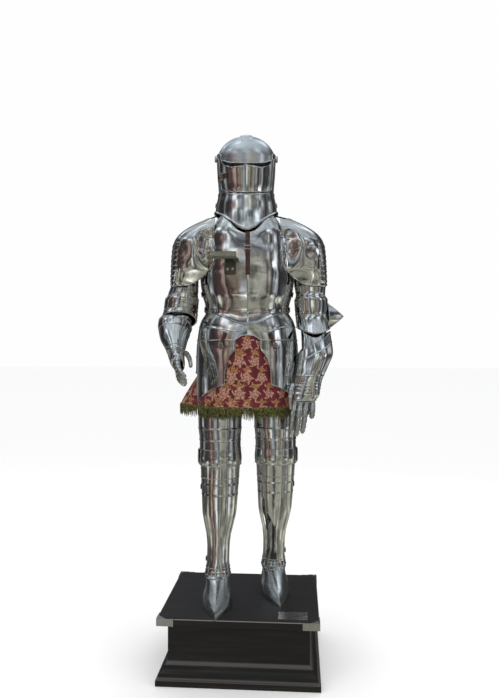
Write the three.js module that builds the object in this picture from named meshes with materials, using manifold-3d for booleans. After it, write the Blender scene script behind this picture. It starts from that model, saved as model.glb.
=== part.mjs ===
// A full tournament armour standing on its display plinth, hollow as it is worn.
// Units are millimetres, +Z is up, -Y is the front, and the origin is the middle of the plinth's underside.
// Every plate is a wall: points on a named surface, moved out by a lift, with a second skin inside them.

import * as THREE from 'three';
import Module from 'manifold-3d';

const wasm = await Module();
wasm.setup();

// Driving sizes.

const PLINTH = {
  slabWidth: 580,
  slabDepth: 500,
  slabTop: 240,
  slabThick: 25,
  chamfer: 2,
  gap: 0.3,
};

// Half sizes of the moulded box under the slab, from the floor up.
const MOULDING = [
  { z: 0, width: 295, depth: 255 },
  { z: 22, width: 295, depth: 255 },
  { z: 27, width: 287, depth: 247 },
  { z: 40, width: 285, depth: 245 },
  { z: 52, width: 270, depth: 230 },
  { z: 64, width: 268, depth: 228 },
  { z: 70, width: 261, depth: 220 },
  { z: 79, width: 256.5, depth: 215 },
  { z: 214.7, width: 256.5, depth: 215 },
];

const CORNER = { leg: 60, thick: 1.5, gusset: 34 };
const PLAQUE = { x: 195.5, y: -192.5, width: 105, depth: 68, thick: 2 };

// The armour stands turned a little on the slab.
const STAND = { x: 12, y: 45, turn: 5 };

const STEEL = 1.6;
const RIM = 2.2;
const SEAM = 0.4;
const LEATHER = 2.4;
const CLOTH = 2;

// Section tables.

// Body, in the armour's own frame: half width, depth to the front and to the back.
const TORSO = [
  { z: 740, half: 204, front: 191, back: 165 },
  { z: 795, half: 203, front: 191, back: 164 },
  { z: 870, half: 203, front: 191, back: 162 },
  { z: 960, half: 201, front: 187, back: 157 },
  { z: 1000, half: 197, front: 182, back: 150 },
  { z: 1050, half: 190, front: 172, back: 137 },
  { z: 1080, half: 180, front: 164, back: 122 },
  { z: 1105, half: 164, front: 160, back: 112 },
  { z: 1128, half: 163, front: 166, back: 114 },
  { z: 1175, half: 175, front: 176, back: 124 },
  { z: 1250, half: 184, front: 178, back: 137 },
  { z: 1330, half: 180, front: 167, back: 139 },
  { z: 1400, half: 165, front: 146, back: 126 },
  { z: 1450, half: 138, front: 115, back: 105 },
  { z: 1500, half: 100, front: 85, back: 80 },
];
const TORSO_FULLNESS = 0.92;
const KEEL = { height: 9, half: 60 };

// Helm and the plate below it.
const HELM = [
  { z: 1408, half: 128, front: 160, back: 112 },
  { z: 1447, half: 126, front: 144, back: 107 },
  { z: 1497, half: 122, front: 130, back: 100 },
  { z: 1535, half: 118, front: 124, back: 97 },
  { z: 1559, half: 112, front: 120, back: 99 },
  { z: 1583, half: 109, front: 119, back: 103 },
  { z: 1630, half: 113, front: 121, back: 113 },
  { z: 1678, half: 116, front: 123, back: 120 },
  { z: 1702, half: 117, front: 121, back: 120 },
  { z: 1726, half: 114, front: 115, back: 116 },
  { z: 1750, half: 104, front: 104, back: 106 },
  { z: 1774, half: 86, front: 87, back: 88 },
  { z: 1798, half: 50, front: 52, back: 52 },
  { z: 1804, half: 28, front: 30, back: 30 },
  { z: 1806, half: 0.01, front: 0.01, back: 0.01 },
];
const HELM_X = -4;
const PIVOT = { y: -5, z: 1718, radius: 13, thick: 3 };

// Shoulder plate: one section table for both sides, measured from x = SHOULDER_X outwards.
const SHOULDER_X = 125;
const SHOULDER = [
  { z: 1200, half: 192, front: 84, back: 114 },
  { z: 1219, half: 191, front: 92, back: 120 },
  { z: 1280, half: 188, front: 132, back: 132 },
  { z: 1330, half: 185, front: 142, back: 134 },
  { z: 1380, half: 178, front: 137, back: 124 },
  { z: 1410, half: 160, front: 124, back: 114 },
  { z: 1439, half: 122, front: 104, back: 98 },
  { z: 1462, half: 78, front: 80, back: 78 },
  { z: 1480, half: 34, front: 58, back: 58 },
];
const SHOULDER_FULLNESS = 0.8;
const SHOULDER_RIM = [
  { around: -2, z: 1322 },
  { around: 3, z: 1272 },
  { around: 12, z: 1236 },
  { around: 30, z: 1210 },
  { around: 60, z: 1208 },
  { around: 90, z: 1219 },
  { around: 140, z: 1240 },
  { around: 186, z: 1292 },
];
const SHOULDER_NARROWER = { left: 0, right: 12 };

// Arms. `s` counts down the arm, (x, y, z) is the middle, `pitch` leans the section forwards,
// a is half the width across the body, b half the depth.
const LEFT_ARM = [
  { s: 1262, x: 247, y: 4, z: 1262, pitch: 0, a: 57, b: 58 },
  { s: 1225, x: 250, y: 3, z: 1225, pitch: 0, a: 63, b: 60 },
  { s: 1183, x: 252, y: 2, z: 1183, pitch: 0, a: 59, b: 60 },
  { s: 1160, x: 254, y: 1, z: 1160, pitch: 0, a: 65, b: 66 },
  { s: 1100, x: 255, y: -4, z: 1100, pitch: 0, a: 63, b: 66 },
  { s: 1060, x: 259, y: -22, z: 1060, pitch: 0, a: 64, b: 63 },
  { s: 1021, x: 261, y: -46, z: 1021, pitch: 0, a: 65, b: 62 },
  { s: 952, x: 264, y: -80, z: 952, pitch: 0, a: 67, b: 58 },
  { s: 900, x: 249, y: -102, z: 900, pitch: 0, a: 61, b: 50 },
  { s: 836, x: 229, y: -124, z: 836, pitch: 0, a: 51, b: 36 },
  { s: 800, x: 221, y: -132, z: 800, pitch: 0, a: 52, b: 27 },
  { s: 768, x: 211, y: -137, z: 768, pitch: 0, a: 45, b: 21 },
];
const RIGHT_ARM = [
  { s: 1262, x: -243, y: 5, z: 1262, pitch: 0, a: 49.5, b: 55.4 },
  { s: 1225, x: -247, y: 0, z: 1225, pitch: 0, a: 52.8, b: 51.4 },
  { s: 1183, x: -255, y: 4, z: 1183, pitch: 0, a: 60, b: 60 },
  { s: 1160, x: -260, y: 5, z: 1160, pitch: 0, a: 66, b: 65 },
  { s: 1100, x: -265, y: 10, z: 1116, pitch: 12, a: 67, b: 66 },
  { s: 1060, x: -268, y: 2, z: 1092, pitch: 26, a: 69, b: 65 },
  { s: 1036, x: -272, y: -8, z: 1074, pitch: 34, a: 69, b: 62 },
  { s: 1021, x: -284, y: -28, z: 1053, pitch: 42, a: 66, b: 58 },
  { s: 952, x: -284, y: -68, z: 1010, pitch: 44, a: 56, b: 52 },
  { s: 900, x: -277, y: -103, z: 976, pitch: 45, a: 42, b: 44 },
  { s: 836, x: -270, y: -134, z: 945, pitch: 45, a: 31, b: 37 },
  { s: 800, x: -265, y: -152, z: 923, pitch: 42, a: 27, b: 43 },
  { s: 768, x: -258, y: -166, z: 904, pitch: 40, a: 20, b: 43 },
];

// How far the forearm lies inside the elbow and the cuff that cover its ends.
const FOREARM_INSET = [
  { s: 1094, inset: 2.4 },
  { s: 1076, inset: 8 },
  { s: 1036, inset: 15 },
  { s: 952, inset: 13 },
  { s: 900, inset: 7 },
  { s: 858, inset: 2.4 },
  { s: 842, inset: 2.3 },
];

// Legs: middle line and half sizes at each height.
const LEG = [
  { z: 96, a: 50, front: 50, back: 54 },
  { z: 120, a: 46, front: 46, back: 49 },
  { z: 150, a: 43.5, front: 45, back: 45 },
  { z: 190, a: 43.5, front: 45, back: 46 },
  { z: 240, a: 47.5, front: 48, back: 54 },
  { z: 285, a: 57, front: 53, back: 66 },
  { z: 330, a: 66, front: 57, back: 78 },
  { z: 375, a: 69, front: 60, back: 82 },
  { z: 430, a: 72, front: 64, back: 76 },
  { z: 465, a: 74, front: 68, back: 70 },
  { z: 515, a: 77, front: 76, back: 68 },
  { z: 546, a: 81, front: 84, back: 70 },
  { z: 578, a: 80, front: 82, back: 74 },
  { z: 610, a: 80, front: 82, back: 78 },
  { z: 655, a: 84, front: 85, back: 82 },
  { z: 720, a: 85, front: 86, back: 86 },
  { z: 830, a: 74, front: 80, back: 80 },
];
const LEFT_LEG_LINE = [
  { z: 96, x: 107, y: 48 },
  { z: 540, x: 113, y: -2 },
  { z: 720, x: 112, y: -2 },
  { z: 860, x: 106, y: 0 },
];
const RIGHT_LEG_LINE = [
  { z: 96, x: -115, y: -65 },
  { z: 546, x: -106, y: -40 },
  { z: 720, x: -108, y: -26 },
  { z: 860, x: -104, y: -12 },
];

// Foot: reach of the toe, half width and reach of the heel at each height, and how pointed it is.
const FOOT = [
  { z: 0.3, toe: 226, half: 50, heel: 74, point: 1 },
  { z: 14, toe: 214, half: 53, heel: 75, point: 1 },
  { z: 32, toe: 176, half: 52, heel: 74, point: 0.8 },
  { z: 52, toe: 128, half: 47, heel: 70, point: 0.5 },
  { z: 74, toe: 84, half: 45, heel: 63, point: 0.2 },
  { z: 95.6, toe: 50, half: 50, heel: 54, point: 0 },
];
// A pointed outline as parts of the toe's reach and of the half width.
const POINTED = [
  { around: 0, ahead: 1, aside: 0 },
  { around: 18, ahead: 0.86, aside: 0.3 },
  { around: 36, ahead: 0.66, aside: 0.66 },
  { around: 54, ahead: 0.42, aside: 0.94 },
  { around: 72, ahead: 0.2, aside: 1 },
  { around: 90, ahead: 0, aside: 0.93 },
];
const FEET = { left: { yaw: 4 }, right: { yaw: -1 } };

// Inner edge of a tasset: distance from the middle at each height.
const TASSET_EDGE = [
  { z: 831, x: 85 },
  { z: 870, x: 84 },
  { z: 900, x: 80 },
  { z: 935, x: 66 },
  { z: 963, x: 46 },
  { z: 992, x: 44 },
];
// Lower edge of a tasset from its inner corner (part 0) to its outer corner (part 1).
const TASSET_FOOT = [
  { part: 0, z: 831 },
  { part: 0.3, z: 813 },
  { part: 0.6, z: 790 },
  { part: 0.85, z: 768 },
  { part: 1, z: 755 },
];
const TASSET_SIDE = 72;
const HIP_FOOT = [
  { around: 72, z: 866 },
  { around: 95, z: 872 },
  { around: 130, z: 896 },
];
const HIP_BACK = 130;

// Upper edge of the fauld, which is the lower edge of the breastplate and backplate.
const WAIST = [
  { around: 0, z: 1057 },
  { around: 30, z: 1062 },
  { around: 60, z: 1084 },
  { around: 90, z: 1098 },
  { around: 130, z: 1090 },
  { around: 180, z: 1086 },
];
// Lower edge of the fauld, with the arch at the middle.
const FAULD_FOOT = [
  { around: 0, z: 1014 },
  { around: 5, z: 1012 },
  { around: 10, z: 1001 },
  { around: 13, z: 995 },
  { around: 130, z: 995 },
  { around: 180, z: 960 },
];

// Half the angle that the breastplate and backplate cover, and their neck edges.
const BREAST_SPAN = [
  { z: 1057, around: 88 },
  { z: 1232, around: 88 },
  { z: 1262, around: 74 },
  { z: 1310, around: 60 },
  { z: 1380, around: 55 },
  { z: 1430, around: 58 },
];
const BREAST_NECK = [
  { around: 0, z: 1424 },
  { around: 30, z: 1448 },
  { around: 60, z: 1478 },
];
const BACK_NECK = [
  { around: 0, z: 1462 },
  { around: 60, z: 1478 },
];

// Helm edges.
const BROW = [
  { around: 0, z: 1668 },
  { around: 30, z: 1674 },
  { around: 52, z: 1690 },
  { around: 60, z: 1694 },
  { around: 66, z: 1583 },
  { around: 120, z: 1572 },
  { around: 180, z: 1560 },
];
const SLIT = [
  { around: 0, z: 1663 },
  { around: 12, z: 1652 },
  { around: 26, z: 1648 },
  { around: 40, z: 1658 },
  { around: 52, z: 1684 },
  { around: 60, z: 1722 },
  { around: 70, z: 1729 },
  { around: 90, z: 1731 },
];
const FACE_FOOT = [
  { around: 0, z: 1557 },
  { around: 30, z: 1563 },
  { around: 58, z: 1580 },
  { around: 63, z: 1702 },
  { around: 90, z: 1705 },
];
const BEVOR_TOP = [
  { around: 0, z: 1556.5 },
  { around: 30, z: 1562.5 },
  { around: 58, z: 1579.5 },
  { around: 66, z: 1582.5 },
];
const BEVOR_FOOT = [
  { around: 0, z: 1408 },
  { around: 14, z: 1424 },
  { around: 28, z: 1447 },
  { around: 50, z: 1476 },
  { around: 80, z: 1497 },
  { around: 120, z: 1490 },
  { around: 180, z: 1470 },
];

// Folds of the skirt: where, how wide in degrees, how far out, all at the hem.
const FOLDS = [
  { around: -172, width: 15, out: 13 },
  { around: -148, width: 13, out: 17 },
  { around: -124, width: 14, out: 14 },
  { around: -101, width: 13, out: 18 },
  { around: -82, width: 10, out: 9 },
  { around: -52, width: 14, out: 4 },
  { around: -24, width: 15, out: 4 },
  { around: 4, width: 16, out: 4 },
  { around: 31, width: 13, out: 4 },
  { around: 56, width: 13, out: 4 },
  { around: 82, width: 11, out: 9 },
  { around: 104, width: 13, out: 16 },
  { around: 128, width: 14, out: 15 },
  { around: 153, width: 13, out: 17 },
];
const SKIRT = { top: 1026, hem: 756, flareFrom: 866, flare: 54, inset: 8.5, band: 4.1, columns: 54 };
const FRINGE = { strip: 9, length: 31, strands: 120, thick: 2.6, tip: 3 };

const LANCE_REST = {
  inner: -44,
  outer: -86,
  low: 1240,
  high: 1300,
  baseThick: 3,
  barrel: 5,
  hingeZ: 1306,
  reach: 58,
  armInner: -42,
  armOuter: -150,
  armThick: 3,
};

// Helpers.

const rad = THREE.MathUtils.degToRad;

// Value of a table's column at a station, by monotone cubic interpolation, so nothing overshoots.
function lookUp(rows, station, column, at) {
  const first = rows[0];
  const last = rows[rows.length - 1];
  if (at === first[station]) return first[column];
  const up = last[station] > first[station];
  const order = up ? rows : [...rows].reverse();
  if (at <= order[0][station]) return order[0][column];
  if (at >= order[order.length - 1][station]) return order[order.length - 1][column];
  let i = 0;
  while (order[i + 1][station] < at) i += 1;
  const slope = (k) => {
    const a = order[k];
    const b = order[k + 1];
    return (b[column] - a[column]) / (b[station] - a[station]);
  };
  const tangent = (k) => {
    if (k === 0) return slope(0);
    if (k === order.length - 1) return slope(k - 1);
    const before = slope(k - 1);
    const after = slope(k);
    if (before * after <= 0) return 0;
    return (2 * before * after) / (before + after);
  };
  const a = order[i];
  const b = order[i + 1];
  const span = b[station] - a[station];
  const t = (at - a[station]) / span;
  const t2 = t * t;
  const t3 = t2 * t;
  const fromA = (2 * t3 - 3 * t2 + 1) * a[column] + (t3 - 2 * t2 + t) * span * tangent(i);
  const fromB = (3 * t2 - 2 * t3) * b[column] + (t3 - t2) * span * tangent(i + 1);
  return fromA + fromB;
}

// Evenly spaced values from a to b.
function steps(a, b, count) {
  return Array.from({ length: count + 1 }, (_, i) => a + ((b - a) * i) / count);
}

// A circle of angles in degrees, without the repeated last one.
function circle(count) {
  return steps(-180, 180, count).slice(0, -1);
}

// Sine and cosine with rounded-square fullness.
function full(value, power) {
  return Math.sign(value) * Math.abs(value) ** power;
}

// Point on a surface moved out along its normal. `side` is -1 where the surface is mirrored.
function lifted(surface, around, at, lift, side = 1) {
  const here = surface(around, at);
  const across = surface(around + 0.6, at).sub(surface(around - 0.6, at));
  const along = surface(around, at + 0.8).sub(surface(around, at - 0.8));
  const normal = across.cross(along).multiplyScalar(side).normalize();
  return here.addScaledVector(normal, lift);
}

// Closed geometry from triangles given as point triples: equal points become one vertex.
function geometryOf(triangles) {
  const index = new Map();
  const positions = [];
  const idOf = (p) => {
    const key = `${p.x.toFixed(3)},${p.y.toFixed(3)},${p.z.toFixed(3)}`;
    if (!index.has(key)) {
      index.set(key, positions.length / 3);
      positions.push(p.x, p.y, p.z);
    }
    return index.get(key);
  };
  const faces = [];
  for (const [a, b, c] of triangles) {
    const ids = [idOf(a), idOf(b), idOf(c)];
    if (new Set(ids).size === 3) faces.push(...ids);
  }
  const geometry = new THREE.BufferGeometry();
  geometry.setAttribute('position', new THREE.Float32BufferAttribute(positions, 3));
  geometry.setIndex(faces);
  if (volumeOf(geometry) < 0) {
    for (let i = 0; i < faces.length; i += 3) {
      [faces[i], faces[i + 1]] = [faces[i + 1], faces[i]];
    }
    geometry.setIndex(faces);
  }
  return geometry;
}

function volumeOf(geometry) {
  const position = geometry.getAttribute('position');
  const at = (i) => new THREE.Vector3().fromBufferAttribute(position, i);
  const ids = geometry.getIndex().array;
  let six = 0;
  for (let i = 0; i < ids.length; i += 3) {
    six += at(ids[i]).dot(at(ids[i + 1]).cross(at(ids[i + 2])));
  }
  return six / 6;
}

// Two skins of rows of points, joined along every open edge.
function wall(outer, inner, closed) {
  const rows = outer.length;
  const cols = outer[0].length;
  const triangles = [];
  const quad = (a, b, c, d) => triangles.push([a, b, c], [a, c, d]);
  const lastCol = closed ? cols : cols - 1;
  for (let r = 0; r < rows - 1; r += 1) {
    for (let c = 0; c < lastCol; c += 1) {
      const n = (c + 1) % cols;
      const [a, b, d, e] = [outer[r][c], outer[r][n], outer[r + 1][n], outer[r + 1][c]];
      const [f, g, h, k] = [inner[r][c], inner[r][n], inner[r + 1][n], inner[r + 1][c]];
      if (a.distanceTo(d) < b.distanceTo(e)) {
        quad(a, b, d, e);
        quad(h, g, f, k);
      } else {
        quad(b, d, e, a);
        quad(g, f, k, h);
      }
    }
    if (!closed) {
      quad(outer[r][0], outer[r + 1][0], inner[r + 1][0], inner[r][0]);
      quad(outer[r + 1][cols - 1], outer[r][cols - 1], inner[r][cols - 1], inner[r + 1][cols - 1]);
    }
  }
  for (let c = 0; c < lastCol; c += 1) {
    const n = (c + 1) % cols;
    quad(outer[0][n], outer[0][c], inner[0][c], inner[0][n]);
    quad(outer[rows - 1][c], outer[rows - 1][n], inner[rows - 1][n], inner[rows - 1][c]);
  }
  return geometryOf(triangles);
}

// A plate on a surface. `angles` are its columns. Each row is { at, lift }, where `at` is a
// height or a function of the column's angle. Its inside lies `inside` from the surface.
function plate(surface, angles, rows, options = {}) {
  const { closed = false, inside = -STEEL, side = 1, angleAt = (angle) => angle } = options;
  const heightOf = (row, angle) => (typeof row.at === 'function' ? row.at(angle) : row.at);
  const skin = (liftOf) => rows.map((row) => angles.map((angle) => {
    const at = heightOf(row, angle);
    return lifted(surface, angleAt(angle, at), at, liftOf(row), side);
  }));
  const outer = skin((row) => row.lift ?? 0);
  const inner = skin((row) => row.inside ?? inside);
  return wall(outer, inner, closed);
}

function toManifold(geometry) {
  const vertProperties = Float32Array.from(geometry.getAttribute('position').array);
  const triVerts = Uint32Array.from(geometry.getIndex().array);
  return new wasm.Manifold(new wasm.Mesh({ numProp: 3, vertProperties, triVerts }));
}

function fromManifold(solid) {
  const mesh = solid.getMesh();
  const geometry = new THREE.BufferGeometry();
  geometry.setAttribute('position', new THREE.Float32BufferAttribute(mesh.vertProperties, 3));
  geometry.setIndex(Array.from(mesh.triVerts));
  return geometry;
}

function joined(geometries) {
  let solid = toManifold(geometries[0]);
  for (const geometry of geometries.slice(1)) {
    solid = solid.add(toManifold(geometry));
  }
  return fromManifold(solid);
}

// Convex loft through rings of points, closed by a fan at each end.
function loft(rings) {
  const triangles = [];
  const count = rings[0].length;
  for (let r = 0; r < rings.length - 1; r += 1) {
    for (let c = 0; c < count; c += 1) {
      const n = (c + 1) % count;
      triangles.push([rings[r][c], rings[r][n], rings[r + 1][n]]);
      triangles.push([rings[r][c], rings[r + 1][n], rings[r + 1][c]]);
    }
  }
  const first = rings[0];
  const last = rings[rings.length - 1];
  for (let c = 1; c < count - 1; c += 1) {
    triangles.push([first[0], first[c + 1], first[c]]);
    triangles.push([last[0], last[c], last[c + 1]]);
  }
  return geometryOf(triangles);
}

// Box between two corners.
function box(low, high) {
  const ring = (z) => [
    new THREE.Vector3(low[0], low[1], z),
    new THREE.Vector3(high[0], low[1], z),
    new THREE.Vector3(high[0], high[1], z),
    new THREE.Vector3(low[0], high[1], z),
  ];
  return loft([ring(low[2]), ring(high[2])]);
}

// A hollow finger: a tube of `sides` along a path, open at its root and closed at its tip.
function finger(path, width, tip, sides) {
  const curve = new THREE.CatmullRomCurve3(path.map((p) => new THREE.Vector3(...p)));
  const count = 3;
  const frames = curve.computeFrenetFrames(count, false);
  const skin = (shrink, end) => steps(0, 1, count).map((t, r) => {
    const middle = curve.getPointAt(Math.min(t, end));
    const last = r === count;
    const radius = last ? 0 : THREE.MathUtils.lerp(width, tip, t) - shrink;
    return steps(0, 360, sides).slice(0, -1).map((angle) => {
      const normal = frames.normals[r].clone().multiplyScalar(Math.cos(rad(angle)) * radius);
      const binormal = frames.binormals[r].clone().multiplyScalar(Math.sin(rad(angle)) * radius);
      return middle.clone().add(normal).add(binormal);
    });
  });
  return wall(skin(0, 1), skin(1.8, 0.94), true);
}

// Surfaces.

// Point on the body: `around` is 0 at the front and 90 at the wearer's left.
function torso(around, z) {
  const half = lookUp(TORSO, 'z', 'half', z);
  const front = lookUp(TORSO, 'z', 'front', z);
  const back = lookUp(TORSO, 'z', 'back', z);
  const sine = Math.sin(rad(around));
  const cosine = Math.cos(rad(around));
  const x = half * full(sine, TORSO_FULLNESS);
  const depth = cosine > 0 ? front : back;
  const near = Math.max(0, 1 - Math.abs(x) / KEEL.half);
  const keel = cosine > 0 && z > 1000 ? KEEL.height * near * Math.min(1, (z - 1000) / 60) : 0;
  return new THREE.Vector3(x, -depth * full(cosine, TORSO_FULLNESS) - keel, z);
}

// Angle at which the body's surface has a given x at a height.
function torsoAngle(x, z) {
  const half = lookUp(TORSO, 'z', 'half', z);
  return THREE.MathUtils.radToDeg(Math.asin(full(x / half, 1 / TORSO_FULLNESS)));
}

function helm(around, z) {
  const half = lookUp(HELM, 'z', 'half', z);
  const depth = lookUp(HELM, 'z', Math.cos(rad(around)) > 0 ? 'front' : 'back', z);
  const x = half * Math.sin(rad(around));
  return new THREE.Vector3(HELM_X + x, -depth * Math.cos(rad(around)), z);
}

function shoulder(side) {
  const less = side > 0 ? SHOULDER_NARROWER.left : SHOULDER_NARROWER.right;
  return (around, z) => {
    const half = lookUp(SHOULDER, 'z', 'half', z) - less;
    const sine = Math.sin(rad(around));
    const cosine = Math.cos(rad(around));
    const depth = lookUp(SHOULDER, 'z', cosine > 0 ? 'front' : 'back', z);
    const x = side * (SHOULDER_X + half * full(sine, SHOULDER_FULLNESS));
    return new THREE.Vector3(x, -depth * full(cosine, SHOULDER_FULLNESS), z);
  };
}

function arm(rows) {
  const column = (name, s) => lookUp(rows, 's', name, s);
  return (around, s) => {
    const x = column('a', s) * Math.sin(rad(around));
    const y = -column('b', s) * Math.cos(rad(around));
    const pitch = rad(column('pitch', s));
    const point = new THREE.Vector3(column('x', s), column('y', s), column('z', s));
    return point.add(new THREE.Vector3(x, y * Math.cos(pitch), -y * Math.sin(pitch)));
  };
}

function leg(line) {
  return (around, z) => {
    const cosine = Math.cos(rad(around));
    const depth = lookUp(LEG, 'z', cosine > 0 ? 'front' : 'back', z);
    const x = lookUp(line, 'z', 'x', z) + lookUp(LEG, 'z', 'a', z) * Math.sin(rad(around));
    return new THREE.Vector3(x, lookUp(line, 'z', 'y', z) - depth * cosine, z);
  };
}

function foot(line, yaw) {
  const middle = new THREE.Vector3(line[0].x, line[0].y, 0);
  return (around, z) => {
    const turn = Math.abs(around);
    const side = Math.sign(around) || 1;
    const half = lookUp(FOOT, 'z', 'half', z);
    let ahead = 0;
    let aside = half * Math.sin(rad(turn));
    if (turn < 90) {
      const toe = lookUp(FOOT, 'z', 'toe', z);
      const point = lookUp(FOOT, 'z', 'point', z);
      const round = toe * Math.cos(rad(turn));
      const sharp = toe * lookUp(POINTED, 'around', 'ahead', turn);
      ahead = THREE.MathUtils.lerp(round, sharp, point);
      aside = THREE.MathUtils.lerp(aside, half * lookUp(POINTED, 'around', 'aside', turn), point);
    } else {
      ahead = lookUp(FOOT, 'z', 'heel', z) * Math.cos(rad(turn));
    }
    const place = new THREE.Vector3(side * aside, -ahead, z);
    return place.applyAxisAngle(new THREE.Vector3(0, 0, 1), rad(yaw)).add(middle);
  };
}

// How far the skirt stands out from its plain form at an angle, at the hem.
function foldOut(around) {
  let out = 0;
  for (const fold of FOLDS) {
    const away = Math.abs(THREE.MathUtils.euclideanModulo(around - fold.around + 180, 360) - 180);
    if (away < fold.width) out += fold.out * 0.5 * (1 + Math.cos((Math.PI * away) / fold.width));
  }
  return out;
}

// The skirt hangs inside the tassets at the front and flares at the sides and the back.
function skirt(around, z) {
  const turn = Math.abs(THREE.MathUtils.euclideanModulo(around + 180, 360) - 180);
  const drop = THREE.MathUtils.clamp((SKIRT.flareFrom - z) / (SKIRT.flareFrom - SKIRT.hem), 0, 1.3);
  const open = THREE.MathUtils.smoothstep(turn, 72, 94);
  const fold = foldOut(around) * THREE.MathUtils.smoothstep(SKIRT.flareFrom + 30 - z, 0, 130);
  const rise = THREE.MathUtils.smoothstep(z, 992, SKIRT.top);
  const inset = THREE.MathUtils.lerp(SKIRT.inset, SKIRT.band, rise);
  const lift = -inset + fold + SKIRT.flare * open * drop;
  return lifted(torso, around, z, lift);
}

// Materials.

const MATERIALS = {
  mirror: { color: 0xb9bcbe, metalness: 1, roughness: 0.16 },
  satin: { color: 0xa3a9ae, metalness: 1, roughness: 0.34 },
  worn: { color: 0x9a9c9b, metalness: 1, roughness: 0.42 },
  leather: { color: 0x4a2018, metalness: 0, roughness: 0.55 },
  brocade: { color: 0x7d1230, metalness: 0, roughness: 0.7 },
  bullion: { color: 0x5a5a1c, metalness: 0.1, roughness: 0.6 },
  wood: { color: 0x1a1412, metalness: 0, roughness: 0.38 },
  nickel: { color: 0xb5b3ad, metalness: 1, roughness: 0.28 },
};

const part = new THREE.Group();
part.name = 'tournament_armour';
const suit = new THREE.Group();
suit.name = 'suit';
suit.position.set(STAND.x, STAND.y, PLINTH.slabTop);
suit.rotation.z = rad(STAND.turn);
part.add(suit);

function add(parent, name, geometry, material) {
  const mesh = new THREE.Mesh(geometry, new THREE.MeshStandardMaterial(MATERIALS[material]));
  mesh.name = name;
  parent.add(mesh);
  return mesh;
}

// Plinth.

// Rectangle of four points at a height.
function rectangle(width, depth, z) {
  return [[-1, -1], [1, -1], [1, 1], [-1, 1]].map(
    ([x, y]) => new THREE.Vector3(x * width, y * depth, z),
  );
}

const slabLow = PLINTH.slabTop - PLINTH.slabThick;
const halfWidth = PLINTH.slabWidth / 2;
const halfDepth = PLINTH.slabDepth / 2;
const slab = loft([
  rectangle(halfWidth - PLINTH.chamfer, halfDepth - PLINTH.chamfer, slabLow),
  rectangle(halfWidth, halfDepth, slabLow + PLINTH.chamfer),
  rectangle(halfWidth, halfDepth, PLINTH.slabTop - PLINTH.chamfer),
  rectangle(halfWidth - PLINTH.chamfer, halfDepth - PLINTH.chamfer, PLINTH.slabTop),
]);
add(part, 'plinth_slab', slab, 'wood');
add(part, 'plinth_box', loft(MOULDING.map((row) => rectangle(row.width, row.depth, row.z))), 'wood');

// Corner fitting: an upright L round the slab's corner with a small triangle on the top.
function cornerFitting(sx, sy) {
  const x = sx * (halfWidth + PLINTH.gap);
  const y = sy * (halfDepth + PLINTH.gap);
  const t = CORNER.thick;
  const top = PLINTH.slabTop + PLINTH.gap;
  const outline = [
    [x - sx * CORNER.leg, y],
    [x - sx * CORNER.leg, y + sy * t],
    [x + sx * t, y + sy * t],
    [x + sx * t, y - sy * CORNER.leg],
    [x, y - sy * CORNER.leg],
    [x, y],
  ];
  const bracket = new THREE.ExtrudeGeometry(
    new THREE.Shape(outline.map(([px, py]) => new THREE.Vector2(px, py))),
    { depth: PLINTH.slabThick + 2 * PLINTH.gap, bevelEnabled: false },
  );
  bracket.translate(0, 0, slabLow - PLINTH.gap);
  const gusset = new THREE.ExtrudeGeometry(
    new THREE.Shape([
      new THREE.Vector2(x + sx * t, y + sy * t),
      new THREE.Vector2(x - sx * CORNER.gusset, y + sy * t),
      new THREE.Vector2(x + sx * t, y - sy * CORNER.gusset),
    ]),
    { depth: t, bevelEnabled: false },
  );
  gusset.translate(0, 0, top);
  return joined([bracket, gusset].map(closedCopy));
}

// An indexed copy of a geometry in which equal points are one vertex.
function closedCopy(geometry) {
  const source = geometry.index ? geometry.toNonIndexed() : geometry;
  const position = source.getAttribute('position');
  const triangles = [];
  for (let i = 0; i < position.count; i += 3) {
    triangles.push([0, 1, 2].map((k) => new THREE.Vector3().fromBufferAttribute(position, i + k)));
  }
  return geometryOf(triangles);
}

const CORNERS = [
  { name: 'corner_front_right', sx: -1, sy: -1 },
  { name: 'corner_front_left', sx: 1, sy: -1 },
  { name: 'corner_back_right', sx: -1, sy: 1 },
  { name: 'corner_back_left', sx: 1, sy: 1 },
];
for (const { name, sx, sy } of CORNERS) {
  add(part, name, cornerFitting(sx, sy), 'nickel');
}

const plaqueLow = PLINTH.slabTop + PLINTH.gap;
const plaque = box(
  [PLAQUE.x - PLAQUE.width / 2, PLAQUE.y - PLAQUE.depth / 2, plaqueLow],
  [PLAQUE.x + PLAQUE.width / 2, PLAQUE.y + PLAQUE.depth / 2, plaqueLow + PLAQUE.thick],
);
add(part, 'plaque', plaque, 'nickel');

// Legs and feet.

const LEG_COLUMNS = circle(16);

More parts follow.
